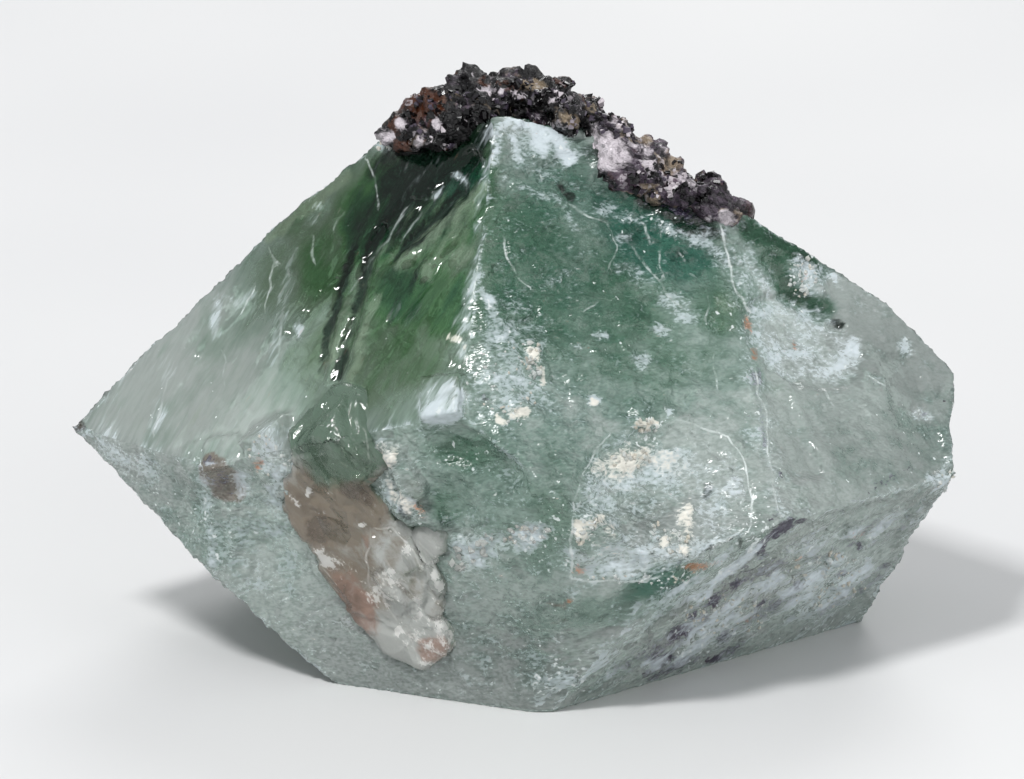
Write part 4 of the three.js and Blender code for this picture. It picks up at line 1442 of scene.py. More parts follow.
        # The more white lies on a place, the less the eye sees into it
        milk = s.add(Kind.SUM, LARGER, {0: frost, 1: chalk})
        milk = s.add(Kind.SUM, LARGER, {0: milk, 1: bright})
        see = s.add(Kind.MIX, NUMBERS, {0: s.felt(Mark.CLEAR), 2: 0.52, 3: 0.86})
        open_share = s.add(Kind.SUM, MINUS, {0: 1.0, 1: s.add(Kind.SUM, TIMES, {0: milk, 1: 0.8})})
        see = s.add(Kind.SUM, TIMES, {0: see, 1: open_share})
        polish = s.add(Kind.MIX, NUMBERS, {0: scuff, 2: 0.06, 3: 0.34})
        rough = s.add(Kind.MIX, NUMBERS, {0: milk, 2: polish, 3: 0.42})
        skin = {"Vector": way, "Scale": fitting(self.skin), "Detail": 2, "Roughness": 0.8}
        relief = {
            "Height": s.add(Kind.CLOUDS, None, skin),
            "Distance": self.relief * MM,
            "Strength": s.add(Kind.MIX, NUMBERS, {0: scuff, 2: 0.1, 3: 0.95}),
        }
        return s.finish(
            s.add(Kind.DEPTH, None, {"Color": linear(self.depth), "Density": self.density}),
            Base_Color=colour,
            Roughness=rough,
            IOR=self.refraction,
            Transmission_Weight=see,
            Normal=s.add(Kind.RELIEF, None, relief),
        )


@dataclass(frozen=True)
class MatrixRock:
    """Dark rock stained by manganese and iron, broken. It is black with brown and purple-grey
    grounds, white and sandy crusts lie on it, and its small crystal faces glint.
    """

    black: str = "#09080A"
    coal: str = "#120E12"
    brown: str = "#4B2A1B"
    purple: str = "#5A4E5C"
    sand: str = "#94846F"
    pale: str = "#CFC7CD"
    fine: float = 0.4  # millimetres, grit
    lump: float = 1.4  # lumps
    facet: float = 0.7  # crystal faces
    relief: float = 0.3  # height of it all

    def material(self) -> bpy.types.Material:
        """Builds the material.

        Returns:
            The finished material.
        """
        s = Shader("matrix_rock_broken")
        slope = s.along((0.85, -0.5, 0.0), 1.8)
        gritty = {"Vector": slope, "Scale": fitting(self.fine), "Detail": 2, "Roughness": 0.7}
        grit = s.add(Kind.CLOUDS, None, gritty)
        lumpy = {"Vector": slope, "Scale": fitting(self.lump), "Detail": 4, "Roughness": 0.7}
        lumps = s.add(Kind.CLOUDS, None, {**lumpy, "Distortion": 0.6})
        lean, facet = s.facets(self.facet)
        colour = s.stain(linear(self.black), self.coal, lumps, (0.42, 0.68, 0.9))
        for mark, tint, top in (
            (Mark.EARTH, self.brown, 0.95),
            (Mark.VIOLET, self.purple, 0.85),
            (Mark.RUST, self.sand, 0.8),
            (Mark.FROST, self.pale, 0.95),
        ):
            colour = s.stain(colour, tint, s.felt(mark, (lumps, 2.0)), (0.35, 0.85, top))
        colour = s.stain(colour, self.pale, s.swung(facet, (grit, 0.4)), (0.95, 1.0, 0.5))
        rough = s.add(Kind.STEP, SMOOTH, {0: facet, 1: 0.1, 2: 0.7, 3: 0.16, 4: 0.6})
        high = s.add(Kind.SUM, PLUS, {0: grit, 1: lumps})
        high = s.add(Kind.SUM, PLUS, {0: high, 1: s.add(Kind.SUM, TIMES, {0: lean, 1: 1.6})})
        relief = s.add(Kind.RELIEF, None, {"Height": high, "Distance": self.relief * MM, "Strength": 1.0})
        return s.finish(Base_Color=colour, Roughness=rough, Normal=relief)


@dataclass(frozen=True)
class SmokyQuartz:
    """Small quartz crystals with smoky and iron stained zones. They are glassy, so they look dark
    where the light runs through and white where their edges are bruised.
    """

    clear: str = "#DEE1DC"
    smoke: str = "#A49786"
    moss: str = "#6E8C77"
    blush: str = "#BD9684"
    umber: str = "#6E5F52"
    bruise: str = "#E0E0DC"
    refraction: float = 1.544
    cloud: float = 1.6  # millimetres, smoke and stains
    fine: float = 0.45  # grains in the bruises
    facet: float = 2.3  # grown faces
    relief: float = 0.22  # height of those faces

    def material(self) -> bpy.types.Material:
        """Builds the material.

        Returns:
            The finished material.
        """
        s = Shader("quartz_smoky_grown")
        slope = s.along((0.55, -0.83, 0.0), 1.8)
        clouded = {"Vector": slope, "Scale": fitting(self.cloud), "Detail": 4, "Roughness": 0.66}
        coarse = s.add(Kind.CLOUDS, None, {**clouded, "Distortion": 0.6})
        grained = {"Vector": slope, "Scale": fitting(self.fine), "Detail": 2, "Roughness": 0.7}
        fine = s.add(Kind.CLOUDS, None, grained)
        lean = s.facets(self.facet, slope)[0]
        smoky = s.felt(Mark.VIOLET, (coarse, 1.6))
        colour = s.stain(linear(self.clear), self.smoke, smoky, (0.1, 0.9, 1))
        for mark, tint, top in (
            (Mark.GREEN, self.moss, 0.92),
            (Mark.RUST, self.blush, 0.8),
            (Mark.EARTH, self.umber, 0.8),
        ):
            colour = s.stain(colour, tint, s.felt(mark, (coarse, 1.3)), (0.3, 0.9, top))
        bruise = s.add(Kind.SUM, PLUS, {0: s.felt(Mark.FROST), 1: 0.08})
        bruise = s.swung(bruise, (coarse, 2.2), (fine, 1.7))
        bruise = s.add(Kind.STEP, SMOOTH, {0: bruise, 1: 0.36, 2: 1.0, 3: 0, 4: 0.9})
        line = s.add(Kind.SUM, TIMES, {0: s.hairlines(coarse), 1: 0.7})
        bruise = s.add(Kind.SUM, LARGER, {0: bruise, 1: line})
        high = s.add(Kind.SUM, TIMES_PLUS, {0: lean, 1: 4.4, 2: coarse})
        relief = {"Height": high, "Distance": self.relief * MM, "Strength": 0.9}
        return s.finish(
            Base_Color=s.add(Kind.MIX, COLOURS, {0: bruise, 6: colour, 7: linear(self.bruise)}),
            Roughness=s.add(Kind.MIX, NUMBERS, {0: bruise, 2: 0.08, 3: 0.45}),
            IOR=self.refraction,
            Transmission_Weight=s.add(Kind.MIX, NUMBERS, {0: bruise, 2: 0.54, 3: 0.18}),
            Normal=s.add(Kind.RELIEF, None, relief),
        )


@dataclass(frozen=True)
class ChalkyCrumb:
    """Crumbs of white and cream mineral, dull with a few bright grains."""

    white: str = "#D9DEDB"
    cream: str = "#DAD4C6"
    tone: float = 1.7  # millimetres, white or cream
    fine: float = 0.25  # grit
    relief: float = 0.06  # height of the grit

    def material(self) -> bpy.types.Material:
        """Builds the material.

        Returns:
            The finished material.
        """
        s = Shader("mineral_crumbs_white")
        toned = {"Vector": s.where, "Scale": fitting(self.tone), "Detail": 3, "Roughness": 0.6}
        tone = s.add(Kind.CLOUDS, None, toned)
        gritty = {"Vector": s.where, "Scale": fitting(self.fine), "Detail": 3, "Roughness": 0.6}
        grit = s.add(Kind.CLOUDS, None, gritty)
        relief = {"Height": grit, "Distance": self.relief * MM, "Strength": 1.0}
        return s.finish(
            Base_Color=s.stain(linear(self.white), self.cream, tone, (0.46, 0.62, 1)),
            Roughness=0.4,
            Transmission_Weight=0.35,
            IOR=1.5,
            Normal=s.add(Kind.RELIEF, None, relief),
        )


@dataclass(frozen=True)
class DarkGlint:
    """Small black and purple-grey crystals in the matrix rock, with shining faces."""

    black: str = "#0B090B"
    purple: str = "#4A4250"
    pale: str = "#BDB5BA"
    face: float = 1.1  # millimetres, crystal faces
    fine: float = 0.3  # grit
    relief: float = 0.05  # height of the grit

    def material(self) -> bpy.types.Material:
        """Builds the material.

        Returns:
            The finished material.
        """
        s = Shader("matrix_grains_shining")
        cell = s.facets(self.face)[1]
        gritty = {"Vector": s.where, "Scale": fitting(self.fine), "Detail": 3, "Roughness": 0.6}
        grit = s.add(Kind.CLOUDS, None, gritty)
        colour = s.stain(linear(self.black), self.purple, cell, (0.55, 0.8, 1))
        relief = {"Height": grit, "Distance": self.relief * MM, "Strength": 1.0}
        return s.finish(
            Base_Color=s.stain(colour, self.pale, cell, (0.9, 0.93, 1)),
            Roughness=s.add(Kind.STEP, SMOOTH, {0: cell, 1: 0, 2: 1, 3: 0.12, 4: 0.4}),
            Normal=s.add(Kind.RELIEF, None, relief),
        )


@dataclass(frozen=True)
class StudioPaper:
    """Matt white paper, the plain ground of the picture."""

    white: str = "#D4D4D4"
    shade: str = "#CDCDCE"
    cloud: float = 140.0  # millimetres, faint unevenness

    def material(self) -> bpy.types.Material:
        """Builds the material.

        Returns:
            The finished material.
        """
        s = Shader("studio_paper_matt")
        soft = {"Vector": s.where, "Scale": fitting(self.cloud), "Detail": 2, "Roughness": 0.6}
        tone = s.add(Kind.CLOUDS, None, soft)
        colour = s.stain(linear(self.shade), self.white, tone, (0.3, 0.7, 1))
        return s.finish(Base_Color=colour, Roughness=0.9)


# Pieces


class OverSolid:
    """A piece that is made from one solid of the CAD.

    Attributes:
        voxel: The size of its faces in millimetres.
        finish: What it is made of.
    """

    voxel: float
    quick_voxel: float
    finish: RoughFluorite | MatrixRock | SmokyQuartz

    def carve(self, mesh: bpy.types.Mesh) -> None:
        """Gives the mesh its relief."""
        raise NotImplementedError

    def paint(self, mesh: bpy.types.Mesh) -> None:
        """Keeps the strength of each mark at each vertex."""
        raise NotImplementedError

    def shaped(self, node: str, label: str) -> bpy.types.Object:
        """Makes the piece from even faces, with its relief, its marks and its finish.

        Args:
            node: The CAD node.
            label: The name of the piece.

        Returns:
            The piece, not yet set in place of the node.
        """
        piece = node_copy(node, label)
        remesh(piece, self.voxel)
        self.carve(piece.data)
        self.paint(piece.data)
        shade_smooth(piece.data)
        piece.data.materials.clear()
        piece.data.materials.append(self.finish.material())
        return piece


@dataclass
class Crystal(OverSolid):
    """The fluorite crystal: the solid's faces, with the fine relief and colours of the real stone.

    Attributes:
        spare: How far the relief may stand out of the solids' box, in millimetres.
        base: Heights in millimetres where the relief starts and where it is full.
        loose: How far soft marks are pushed about, by slow and by quick noise.
        sharp: The same for small, sharp marks.
        thin: The same for thin lines.
        ring_middle: The middle of the rings in the scar.
        ring_gap: Millimetres from ring to ring.
        ring_height: Height of a ring in millimetres.
    """

    voxel: float = 0.425
    quick_voxel: float = 0.65
    spare: float = 0.2
    base: Spot = (0.1, 1.4)
    loose: Spot = (0.55, 0.3)
    sharp: Spot = (0.3, 0.12)
    thin: Spot = (0.5, 0.16)
    ring_middle: Spot = (9.0, -1.0)
    ring_gap: float = 2.3
    ring_height: float = 0.09
    finish: RoughFluorite = field(default_factory=RoughFluorite)

    def build(self) -> bpy.types.Object:
        """Builds the crystal and sets it in place of its solid.

        Returns:
            The finished piece.
        """
        piece = self.shaped("fluorite_crystal", "crystal")
        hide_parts("fluorite_crystal")
        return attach(piece, "root")

    def carve(self, mesh: bpy.types.Mesh) -> None:
        """Moves the surface by the relief of each face's skin. The base stays flat.

        Args:
            mesh: The mesh, in object coordinates.
        """
        points = read_points(mesh)
        normals = read_points(mesh, normals=True)
        places = VIEW.seen(points)
        facets = FacetMap(places)
        height = self.swells(places, facets) + self.chips(places, facets) + self.steps(places, facets)
        height += self.dents(places, facets)
        height *= fade(points[:, 2] / MM, *self.base)
        points += normals * (height * MM)[:, None]
        low, high = CAD_BOX
        points = np.clip(points, np.array(low) - self.spare * MM, np.array(high) + self.spare * MM)
        points[:, 2] = np.maximum(points[:, 2], 0)
        write_points(mesh, points)

    def swells(self, places: np.ndarray, facets: FacetMap) -> np.ndarray:
        """Slow waves and close bumps, in millimetres.

        Args:
            places: The vertices in the front view, in millimetres.
            facets: Which face of the crystal each vertex lies by.

        Returns:
            How far each vertex moves out, in millimetres.
        """
        swell = facets.mix(lambda facet: RELIEFS[facet.skin].swell) * sample(smooth_noise, places, 6.5)
        grain = facets.mix(lambda facet: RELIEFS[facet.skin].grain) * sample(rough_noise, places, 1.5)
        return swell + grain

    def chips(self, places: np.ndarray, facets: FacetMap) -> np.ndarray:
        """Small facets that each lean toward one of the crystal's cleavage faces."""
        amount = facets.mix(lambda facet: RELIEFS[facet.skin].chips)
        return amount * (leaning_facets(places, 2.1) + 0.5 * leaning_facets(places, 0.9))

    def dents(self, places: np.ndarray, facets: FacetMap) -> np.ndarray:
        """The hollows and raised places of the front, in millimetres, with rings in the scar.

        Args:
            places: The vertices in the front view, in millimetres.
            facets: Which face of the crystal each vertex lies by.

        Returns:
            How far each vertex moves out, in millimetres.
        """
        front = facets.front()
        wander = wandering(places, 1.6)
        across, up = (places[:, :2] + 0.3 * wander).T
        height = sum(dent.rise * dent.shape.cover(across, up) for dent in DENTS)
        away = np.hypot(across - self.ring_middle[0], up - self.ring_middle[1])
        rings = np.sin(away * math.tau / self.ring_gap)
        height += self.ring_height * rings * DENTS[0].shape.cover(across, up)
        return front * height

    def steps(self, places: np.ndarray, facets: FacetMap) -> np.ndarray:
        """Terraces that climb slowly and end in a riser.

        Args:
            places: The vertices in the front view, in millimetres.
            facets: Which face of the crystal each vertex lies by.

        Returns:
            How far each vertex moves out, in millimetres.
        """
        bend = sample(rough_noise, places, 9.0)
        wobble = sample(smooth_noise, places, 2.4)
        height = np.zeros(len(places))
        for index, facet in enumerate(FACETS):
            relief = RELIEFS[facet.skin]
            across, up = relief.step_way
            run = (places[:, 0] * across + places[:, 1] * up) / relief.step_run
            phase = run + 0.9 * bend + 0.22 * wobble
            part = phase - np.floor(phase)
            height += facets.shares[:, index] * relief.steps * (fade(part, 0.86, 1.0) - part)
        return height

    def paint(self, mesh: bpy.types.Mesh) -> None:
        """Keeps the strength of each mark at each vertex.

        Args:
            mesh: The mesh, in object coordinates.
        """
        places = VIEW.seen(read_points(mesh))
        facets = FacetMap(places)
        front = facets.front()
        wander = wandering(places, 2.4)
        ripple = wandering(places, 0.9, (7.0, 53.0))
        marks = {mark: np.zeros(len(places)) for mark in Mark}
        for mark, shapes in CRYSTAL_MARKS.items():
            slow, quick = self.sharp if mark in (Mark.RUST, Mark.VIOLET) else self.loose
            across, up = (places[:, :2] + slow * wander + quick * ripple).T
            marks[mark] = front * painted(shapes, across, up)
        across, up = (places[:, :2] + self.thin[0] * wander + self.thin[1] * ripple).T
        felt, marks[Mark.SIDE] = drawn(CRYSTAL_LINES, across, up)
        marks[Mark.LINE] = front * felt
        self.paint_back(marks, places, 1 - front)
        self.paint_edges(marks, facets)
        marks[Mark.SCUFF] = facets.mix(lambda facet: RELIEFS[facet.skin].scuff)
        marks[Mark.WINDOW] = facets.mix(lambda facet: float(facet.skin is Skin.CLEAVED))
        marks[Mark.STRIATED] = facets.mix(lambda facet: float(facet.skin is Skin.STRIATED))
        for mark, values in marks.items():
            write_mark(mesh, mark, values)

    def paint_back(self, marks: dict[Mark, np.ndarray], places: np.ndarray, back: np.ndarray) -> None:
        """Carries the green zones round the stone, darkest by the crown, with frosted clouds.

        Args:
            marks: The strength of every mark so far.
            places: The vertices in the front view, in millimetres.
            back: How far each vertex is out of the front view, 0 to 1.
        """
        crown = np.linalg.norm(places - np.array((0.0, 25.0, -4.0)), axis=1)
        drift = sample(rough_noise, places, 9.0)
        veins = fade(sample(rough_noise, places, 3.0), 0.05, 0.5)
        chosen = {
            Mark.GREEN: fade(crown, 44, 6) * 0.8 + 0.25 * drift,
            Mark.TEAL: fade(places[:, 0] + 9 * drift, 0, 30) * 0.5,
            Mark.FROST: fade(drift, 0.05, 0.55) * 0.5,
            Mark.EARTH: fade(-drift, 0.3, 0.7) * 0.4,
            Mark.VIOLET: fade(places[:, 1], -8, -24) * veins * 0.6,
            Mark.DEEP_GREEN_AND_PAINTED_DARK: fade(crown, 13, 4) * 0.6,
            Mark.CLEAR: np.full(len(places), 0.35),
        }
        for mark, values in chosen.items():
            marks[mark] = np.maximum(marks[mark], back * values)

    def paint_edges(self, marks: dict[Mark, np.ndarray], facets: FacetMap) -> None:
        """Bruises the sharp edges white, here and there.

        Args:
            marks: The strength of every mark so far.
            facets: Which face of the crystal each vertex lies by.
        """
        chosen = np.sort(facets.heights, axis=1)
        ridge = np.clip(1 - (chosen[:, -1] - chosen[:, -2]) / 0.4, 0, 1)
        marks[Mark.FROST] = np.maximum(marks[Mark.FROST], ridge * 0.4)


@dataclass
class Rind(OverSolid):
    """The matrix rock on the crown, grown fast to the crystal."""

    voxel: float = 0.27
    quick_voxel: float = 0.45
    gap: float = 0.4
    root: float = 0.9
    finish: MatrixRock = field(default_factory=MatrixRock)

    def build(self) -> bpy.types.Object:
        """Builds the rind and sets it in place of its solid.

        Returns:
            The finished piece.
        """
        piece = self.shaped("matrix_rind", "rind")
        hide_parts("matrix_rind")
        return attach(piece, "root")

    def carve(self, mesh: bpy.types.Mesh) -> None:
        """Breaks up the surface, and presses the underside against the crystal.

        Args:
            mesh: The mesh, in object coordinates.
        """
        points = read_points(mesh)
        normals = read_points(mesh, normals=True)
        places = VIEW.seen(points)
        facets = FacetMap(places)
        height = 0.30 * sample(rough_noise, places, 1.1) + 0.35 * sample(smooth_noise, places, 2.6)
        height += 0.35 * self.blocks(places)
        points += normals * (height * MM)[:, None]
        under = fade(facets.depth(), self.gap + 0.5, self.gap + 0.1)
        points -= facets.ways() * (under * self.root * MM)[:, None]
        low, high = CAD_BOX
        write_points(mesh, np.clip(points, np.array(low), np.array(high) + 0.3 * MM))

    def blocks(self, places: np.ndarray) -> np.ndarray:
        """Small broken blocks, each at a height of its own, from -1 to 1.

        Args:
            places: The vertices in the front view, in millimetres.

        Returns:
            The height of each vertex, to be scaled.
        """
        heights = np.empty(len(places))
        for index, place in enumerate((places / 1.5).tolist()):
            spot = Vector(place)
            middle = noise.voronoi(spot)[1][0]
            lean = noise.cell_vector(middle * 3.7) * 2 - Vector((1, 1, 1))
            heights[index] = (spot - middle).dot(lean) + noise.cell(middle * 9.1) - 0.5
        return np.clip(heights, -1, 1)

    def paint(self, mesh: bpy.types.Mesh) -> None:
        """Keeps where the rock is brown, purple, sandy and pale, with veins all round.

        Args:
            mesh: The mesh, in object coordinates.
        """
        places = VIEW.seen(read_points(mesh))
        across, up, toward = places.T
        front = fade(toward, -5, -1)
        shifts = (0.0, 17.0, 40.0, 71.0)
        veins = [fade(sample(rough_noise, places + shift, 2.6), 0.15, 0.5) for shift in shifts]
        right = fade(across, 4.0, 12.0)
        around = {
            Mark.EARTH: veins[0] * 0.7,
            Mark.VIOLET: np.maximum(right * 0.62, veins[1] * 0.5),
            Mark.RUST: veins[2] * (0.35 + 0.35 * right),
            Mark.FROST: veins[3] * (0.05 + 0.6 * right),
        }
        for mark, values in around.items():
            shapes = painted(RIND_MARKS[mark], across, up)
            write_mark(mesh, mark, np.maximum(values, front * shapes))


@dataclass
class Cluster(OverSolid):
    """The small quartz crystals, grown fast into their pocket."""

    voxel: float = 0.26
    quick_voxel: float = 0.45
    gap: float = 0.4
    flatten: float = 0.35
    finish: SmokyQuartz = field(default_factory=SmokyQuartz)

    def build(self) -> bpy.types.Object:
        """Builds the cluster and sets it in place of its solid.

        Returns:
            The finished piece.
        """
        piece = self.shaped("quartz_cluster", "small_crystals")
        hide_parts("quartz_cluster")
        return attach(piece, "root")

    def carve(self, mesh: bpy.types.Mesh) -> None:
        """Breaks the skin into facets, fills the pocket and keeps the crystals low.

        Args:
            mesh: The mesh, in object coordinates.
        """
        points = read_points(mesh)
        normals = read_points(mesh, normals=True)
        places = VIEW.seen(points)
        facets = FacetMap(places)
        depth = facets.depth()
        height = 0.06 * sample(rough_noise, places, 1.3) + 0.18 * leaning_facets(places, 2.4)
        height += fade(depth, 1.0, 0.3) * (self.gap + 0.4)
        points += normals * (height * MM)[:, None]
        points -= facets.ways() * (self.flatten * np.maximum(depth - 0.4, 0) * MM)[:, None]
        write_points(mesh, points)

    def paint(self, mesh: bpy.types.Mesh) -> None:
        """Keeps where the crystals are smoky, mossy green, blushed and bruised.

        Args:
            mesh: The mesh, in object coordinates.
        """
        places = VIEW.seen(read_points(mesh))
        across, up = (places[:, :2] + 0.35 * wandering(places, 1.6)).T
        rim = fade(FacetMap(places).depth(), 0.7, 0.2)
        for mark, shapes in CLUSTER_MARKS.items():
            values = painted(shapes, across, up)
            if mark is Mark.GREEN:
                values = np.maximum(values, 0.6 * rim)
            write_mark(mesh, mark, values)
        felt, side = drawn(CLUSTER_LINES, across, up)
        write_mark(mesh, Mark.LINE, felt)
        write_mark(mesh, Mark.SIDE, side)


@dataclass(frozen=True)
class Sprinkle:
    """A drift of crumbs: its middle, its width and height, how many, and how large they are."""

    at: Spot
    size: Spot
    count: int
    grain: Spot


@dataclass
class Crumbs:
    """Loose-looking crumbs that are grown fast to the skin, joined in one mesh.

    Attributes:
        label: The name of the piece.
        slot_name: The slot that it takes. It is not used.
        sprinkles: Where the crumbs lie.
        finish: What they are made of.
        host: The piece that they lie on.
        seed: The seed of the source of chance.
        blocky: Whether they are blocks and not grains.
        sunk: How deep each is set in, as a share of its size.
        stretched: How far each is stretched, least and most.
        ragged: How far its corners are moved out, least and most.
    """

    label: str
    slot_name: str
    sprinkles: Sequence[Sprinkle]
    finish: ChalkyCrumb | DarkGlint | SmokyQuartz
    host: bpy.types.Object
    seed: int
    blocky: bool = False
    sunk: float = 0.2
    stretched: Spot = (0.6, 1.2)
    ragged: Spot = (0.65, 1.25)

    def build(self) -> bpy.types.Object:
        """Sprinkles the crumbs over their host.

        Returns:
            The finished piece.
        """
        dice = np.random.default_rng(self.seed)
        crumbs = bmesh.new()
        for sprinkle in self.sprinkles:
            for _ in range(sprinkle.count):
                self.drop(crumbs, sprinkle, dice)
        mesh = bpy.data.meshes.new(self.label)
        bmesh.ops.recalc_face_normals(crumbs, faces=crumbs.faces)
        crumbs.to_mesh(mesh)
        crumbs.free()
        mesh.materials.append(self.finish.material())
        piece = in_scene(self.label, mesh)
        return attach(piece, "root")

    def drop(self, crumbs: bmesh.types.BMesh, sprinkle: Sprinkle, dice: np.random.Generator) -> None:
        """Sets one crumb where a line of sight meets the host.

        Args:
            crumbs: The mesh that collects them.
            sprinkle: The drift that the crumb is part of.
            dice: The seeded source of chance.
        """
        radius, angle = math.sqrt(dice.random()), dice.random() * math.tau
        across = sprinkle.at[0] + radius * math.cos(angle) * sprinkle.size[0] / 2
        up = sprinkle.at[1] + radius * math.sin(angle) * sprinkle.size[1] / 2
        size = dice.uniform(*sprinkle.grain) * MM / 2
        stretch = Vector(dice.uniform(*self.stretched, 3))
        turn = Matrix.Rotation(dice.random() * math.tau, 4, Vector(dice.normal(size=3)).normalized())
        start = VIEW.place((across, up, BEFORE_ALL))
        hit, spot, normal, _ = self.host.ray_cast(start, VIEW.aim((0, 0, -1)))
        if not hit:
            return
        spot = spot - normal * size * self.sunk
        shape = Matrix.Translation(spot) @ turn @ Matrix.Diagonal((*(stretch * size), 1))
        if self.blocky:
            made = bmesh.ops.create_cube(crumbs, size=1.7, matrix=shape)
        else:
            made = bmesh.ops.create_icosphere(crumbs, subdivisions=1, radius=1, matrix=shape)
        for vert in made["verts"]:
            vert.co = spot + (vert.co - spot) * dice.uniform(*self.ragged)


CHALK_SPRINKLES = (
    Sprinkle((2.0, 3.8), (1.8, 3.6), 30, (0.25, 0.8)),
    Sprinkle((-0.6, 1.6), (8.0, 8.0), 40, (0.2, 0.5)),
    Sprinkle((11.2, -5.6), (4.4, 2.0), 22, (0.25, 0.8)),
    Sprinkle((14.8, -12.8), (4.0, 3.4), 26, (0.25, 0.7)),
    Sprinkle((6.6, -12.0), (2.0, 3.0), 18, (0.3, 0.7)),
    Sprinkle((12.6, -2.4), (3.0, 1.2), 18, (0.3, 0.8)),
    Sprinkle((1.4, -12.6), (4.6, 1.6), 18, (0.25, 0.6)),
    Sprinkle((12.0, -16.8), (10.0, 0.8), 30, (0.2, 0.45)),
    Sprinkle((20.5, -20.4), (9.0, 4.0), 60, (0.2, 0.55)),
    Sprinkle((30.0, -17.4), (8.0, 6.0), 90, (0.2, 0.6)),
    Sprinkle((27.6, 11.6), (2.8, 4.0), 34, (0.25, 0.7)),
    Sprinkle((41.0, -7.8), (2.6, 2.6), 16, (0.25, 0.6)),
    Sprinkle((-22.8, -5.6), (4.4, 5.0), 18, (0.25, 0.6)),
    Sprinkle((-12.2, 24.6), (2.0, 2.0), 12, (0.3, 0.8)),
)

CLEAR_SPRINKLES = (
    Sprinkle((1.4, -12.5), (4.6, 1.6), 14, (0.4, 1.0)),
    Sprinkle((-2.0, -13.6), (3.0, 2.2), 10, (0.5, 1.2)),
    Sprinkle((-4.6, -14.8), (3.0, 2.6), 9, (0.7, 1.4)),
)

GLINT_SPRINKLES = (
    Sprinkle((-4.6, 26.6), (11.0, 6.0), 150, (0.25, 0.8)),
    Sprinkle((3.4, 29.0), (9.0, 3.4), 90, (0.25, 0.8)),
    Sprinkle((8.6, 26.6), (8.0, 4.0), 100, (0.25, 0.7)),
    Sprinkle((16.0, 20.8), (10.0, 4.0), 120, (0.25, 0.7)),
)


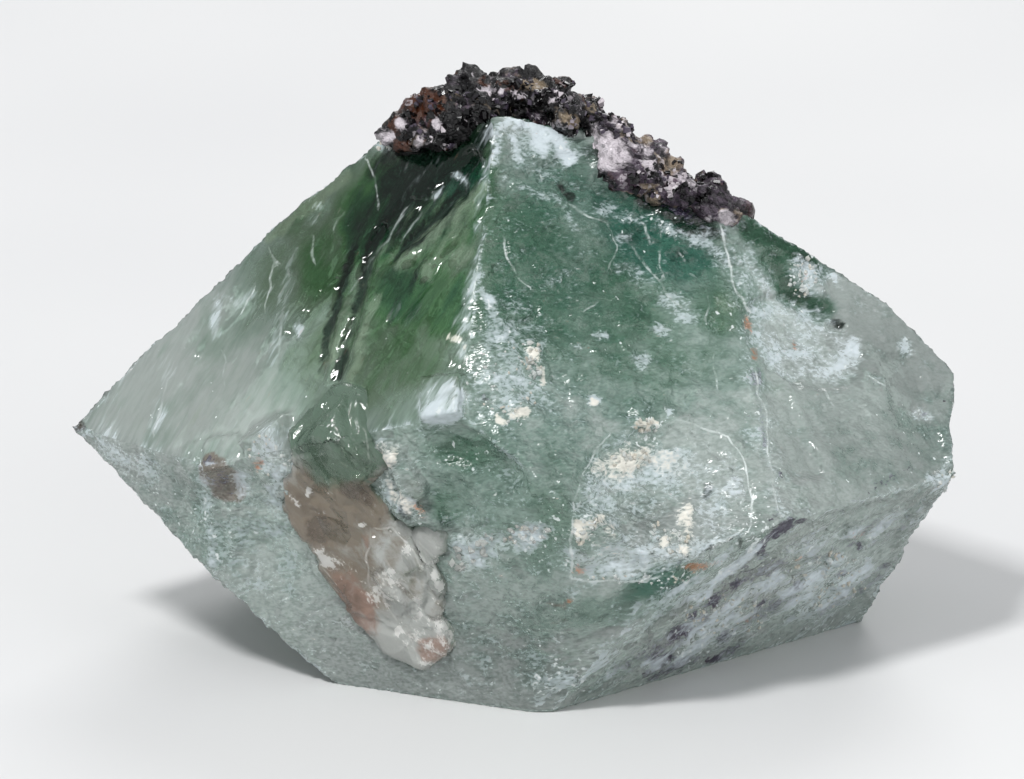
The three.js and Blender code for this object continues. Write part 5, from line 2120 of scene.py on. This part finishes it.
@dataclass
class Studio:
    """The paper ground, the lights and the camera. Lengths are in metres.

    Attributes:
        distance: From the camera to the stone.
        frame_width: Width of the picture at the stone.
        middle_up: Middle of the picture in the front view, in millimetres.
        sensor: Width of the camera's sensor in millimetres.
        sheet: Half the width of the paper.
        near: Where it starts.
        bend_at: Where it curves up.
        bend: The curve's radius.
        top: The paper's height.
        lit: Where the lights are turned to.
        room: Colour of the room's light.
        room_light: Strength of the room's light.
    """

    distance: float = 1.2
    frame_width: float = 1024 * 0.095 * MM
    middle_up: float = 1.0
    sensor: float = 36.0
    sheet: float = 1.6
    near: float = -1.2
    bend_at: float = 0.9
    bend: float = 0.5
    top: float = 1.6
    lit: Triple = (0.0, 0.0, 0.03)
    room: str = "#F2F5F7"
    room_light: float = 0.55
    paper: StudioPaper = field(default_factory=StudioPaper)

    def build(self) -> None:
        """Sets up the studio."""
        self.lay_paper()
        self.set_lights()
        self.set_camera()

    def lay_paper(self) -> None:
        """Lays a sheet of paper that curves up behind the stone."""
        sheet = bmesh.new()
        front = sheet.verts.new((-self.sheet, self.near, 0))
        floor = sheet.verts.new((-self.sheet, self.bend_at, 0))
        line = [sheet.edges.new((front, floor))]
        steps = 16
        last = floor
        for step in range(1, steps + 1):
            angle = math.pi / 2 * step / steps
            back = self.bend_at + self.bend * math.sin(angle)
            bend = sheet.verts.new((-self.sheet, back, self.bend * (1 - math.cos(angle))))
            line.append(sheet.edges.new((last, bend)))
            last = bend
        top = sheet.verts.new((-self.sheet, self.bend_at + self.bend, self.top))
        line.append(sheet.edges.new((last, top)))
        made = bmesh.ops.extrude_edge_only(sheet, edges=line)
        moved = [part for part in made["geom"] if isinstance(part, bmesh.types.BMVert)]
        bmesh.ops.translate(sheet, verts=moved, vec=(2 * self.sheet, 0, 0))
        bmesh.ops.recalc_face_normals(sheet, faces=sheet.faces)
        if sum(face.normal.z for face in sheet.faces) < 0:
            bmesh.ops.reverse_faces(sheet, faces=sheet.faces)
        mesh = bpy.data.meshes.new("paper")
        sheet.to_mesh(mesh)
        sheet.free()
        shade_smooth(mesh)
        mesh.materials.append(self.paper.material())
        in_scene("paper", mesh)

    def set_lights(self) -> None:
        """Hangs a key light, a fill light and a light from behind, in a bright room."""
        world = bpy.data.worlds.new("room")
        world.use_nodes = True
        background = world.node_tree.nodes["Background"]
        background.inputs["Color"].default_value = linear(self.room)
        background.inputs["Strength"].default_value = self.room_light
        bpy.context.scene.world = world
        self.hang("key", (-0.24, -0.40, 0.75), 0.13, 5.4)
        self.hang("fill", (0.65, -0.45, 0.35), 0.6, 1.8)
        self.hang("back", (0.15, 0.75, 0.55), 0.5, 4.0)

    def hang(self, name: str, spot: Triple, size: float, power: float) -> None:
        """Hangs one square light that faces the stone.

        Args:
            name: The light's name.
            spot: Where it hangs.
            size: Its side in metres.
            power: Its power in watts.
        """
        lamp = bpy.data.lights.new(name, "AREA")
        lamp.shape = "SQUARE"
        lamp.size = size
        lamp.energy = power
        light = in_scene(name, lamp)
        light.location = spot
        light.rotation_euler = (Vector(self.lit) - Vector(spot)).to_track_quat("-Z", "Y").to_euler()

    def set_camera(self) -> None:
        """Sets a long lens in front of the stone, a little above it."""
        lens = bpy.data.cameras.new("camera")
        lens.sensor_width = self.sensor
        lens.lens = self.sensor * self.distance / self.frame_width
        camera = in_scene("camera", lens)
        target = VIEW.place((0, self.middle_up, 0))
        camera.location = target + VIEW.aim((0, 0, 1)) * self.distance
        camera.rotation_euler = VIEW.aim((0, 0, 1)).to_track_quat("Z", "Y").to_euler()
        bpy.context.scene.camera = camera
        bpy.context.scene.view_settings.view_transform = "Standard"


def report(piece: bpy.types.Object) -> bpy.types.Object:
    """Logs a finished piece."""
    LOG.info("%s: %d faces", piece.name, len(piece.data.polygons))
    return piece


def main() -> None:
    """Builds the studio and every piece."""
    logging.basicConfig(level=logging.INFO, format="%(name)s: %(message)s")
    Studio().build()
    crystal = report(Crystal().build())
    rind = report(Rind().build())
    report(Cluster().build())
    chalk = Crumbs("white_crumbs", "fluorite", CHALK_SPRINKLES, ChalkyCrumb(), crystal, 11)
    report(chalk.build())
    clear = Crumbs("clear_grains", "quartz", CLEAR_SPRINKLES, SmokyQuartz(), crystal, 31, sunk=0.5)
    report(clear.build())
    glints = Crumbs("rind_grains", "matrix", GLINT_SPRINKLES, DarkGlint(), rind, 23, blocky=True)
    report(glints.build())


if __name__ == "__main__":
    main()
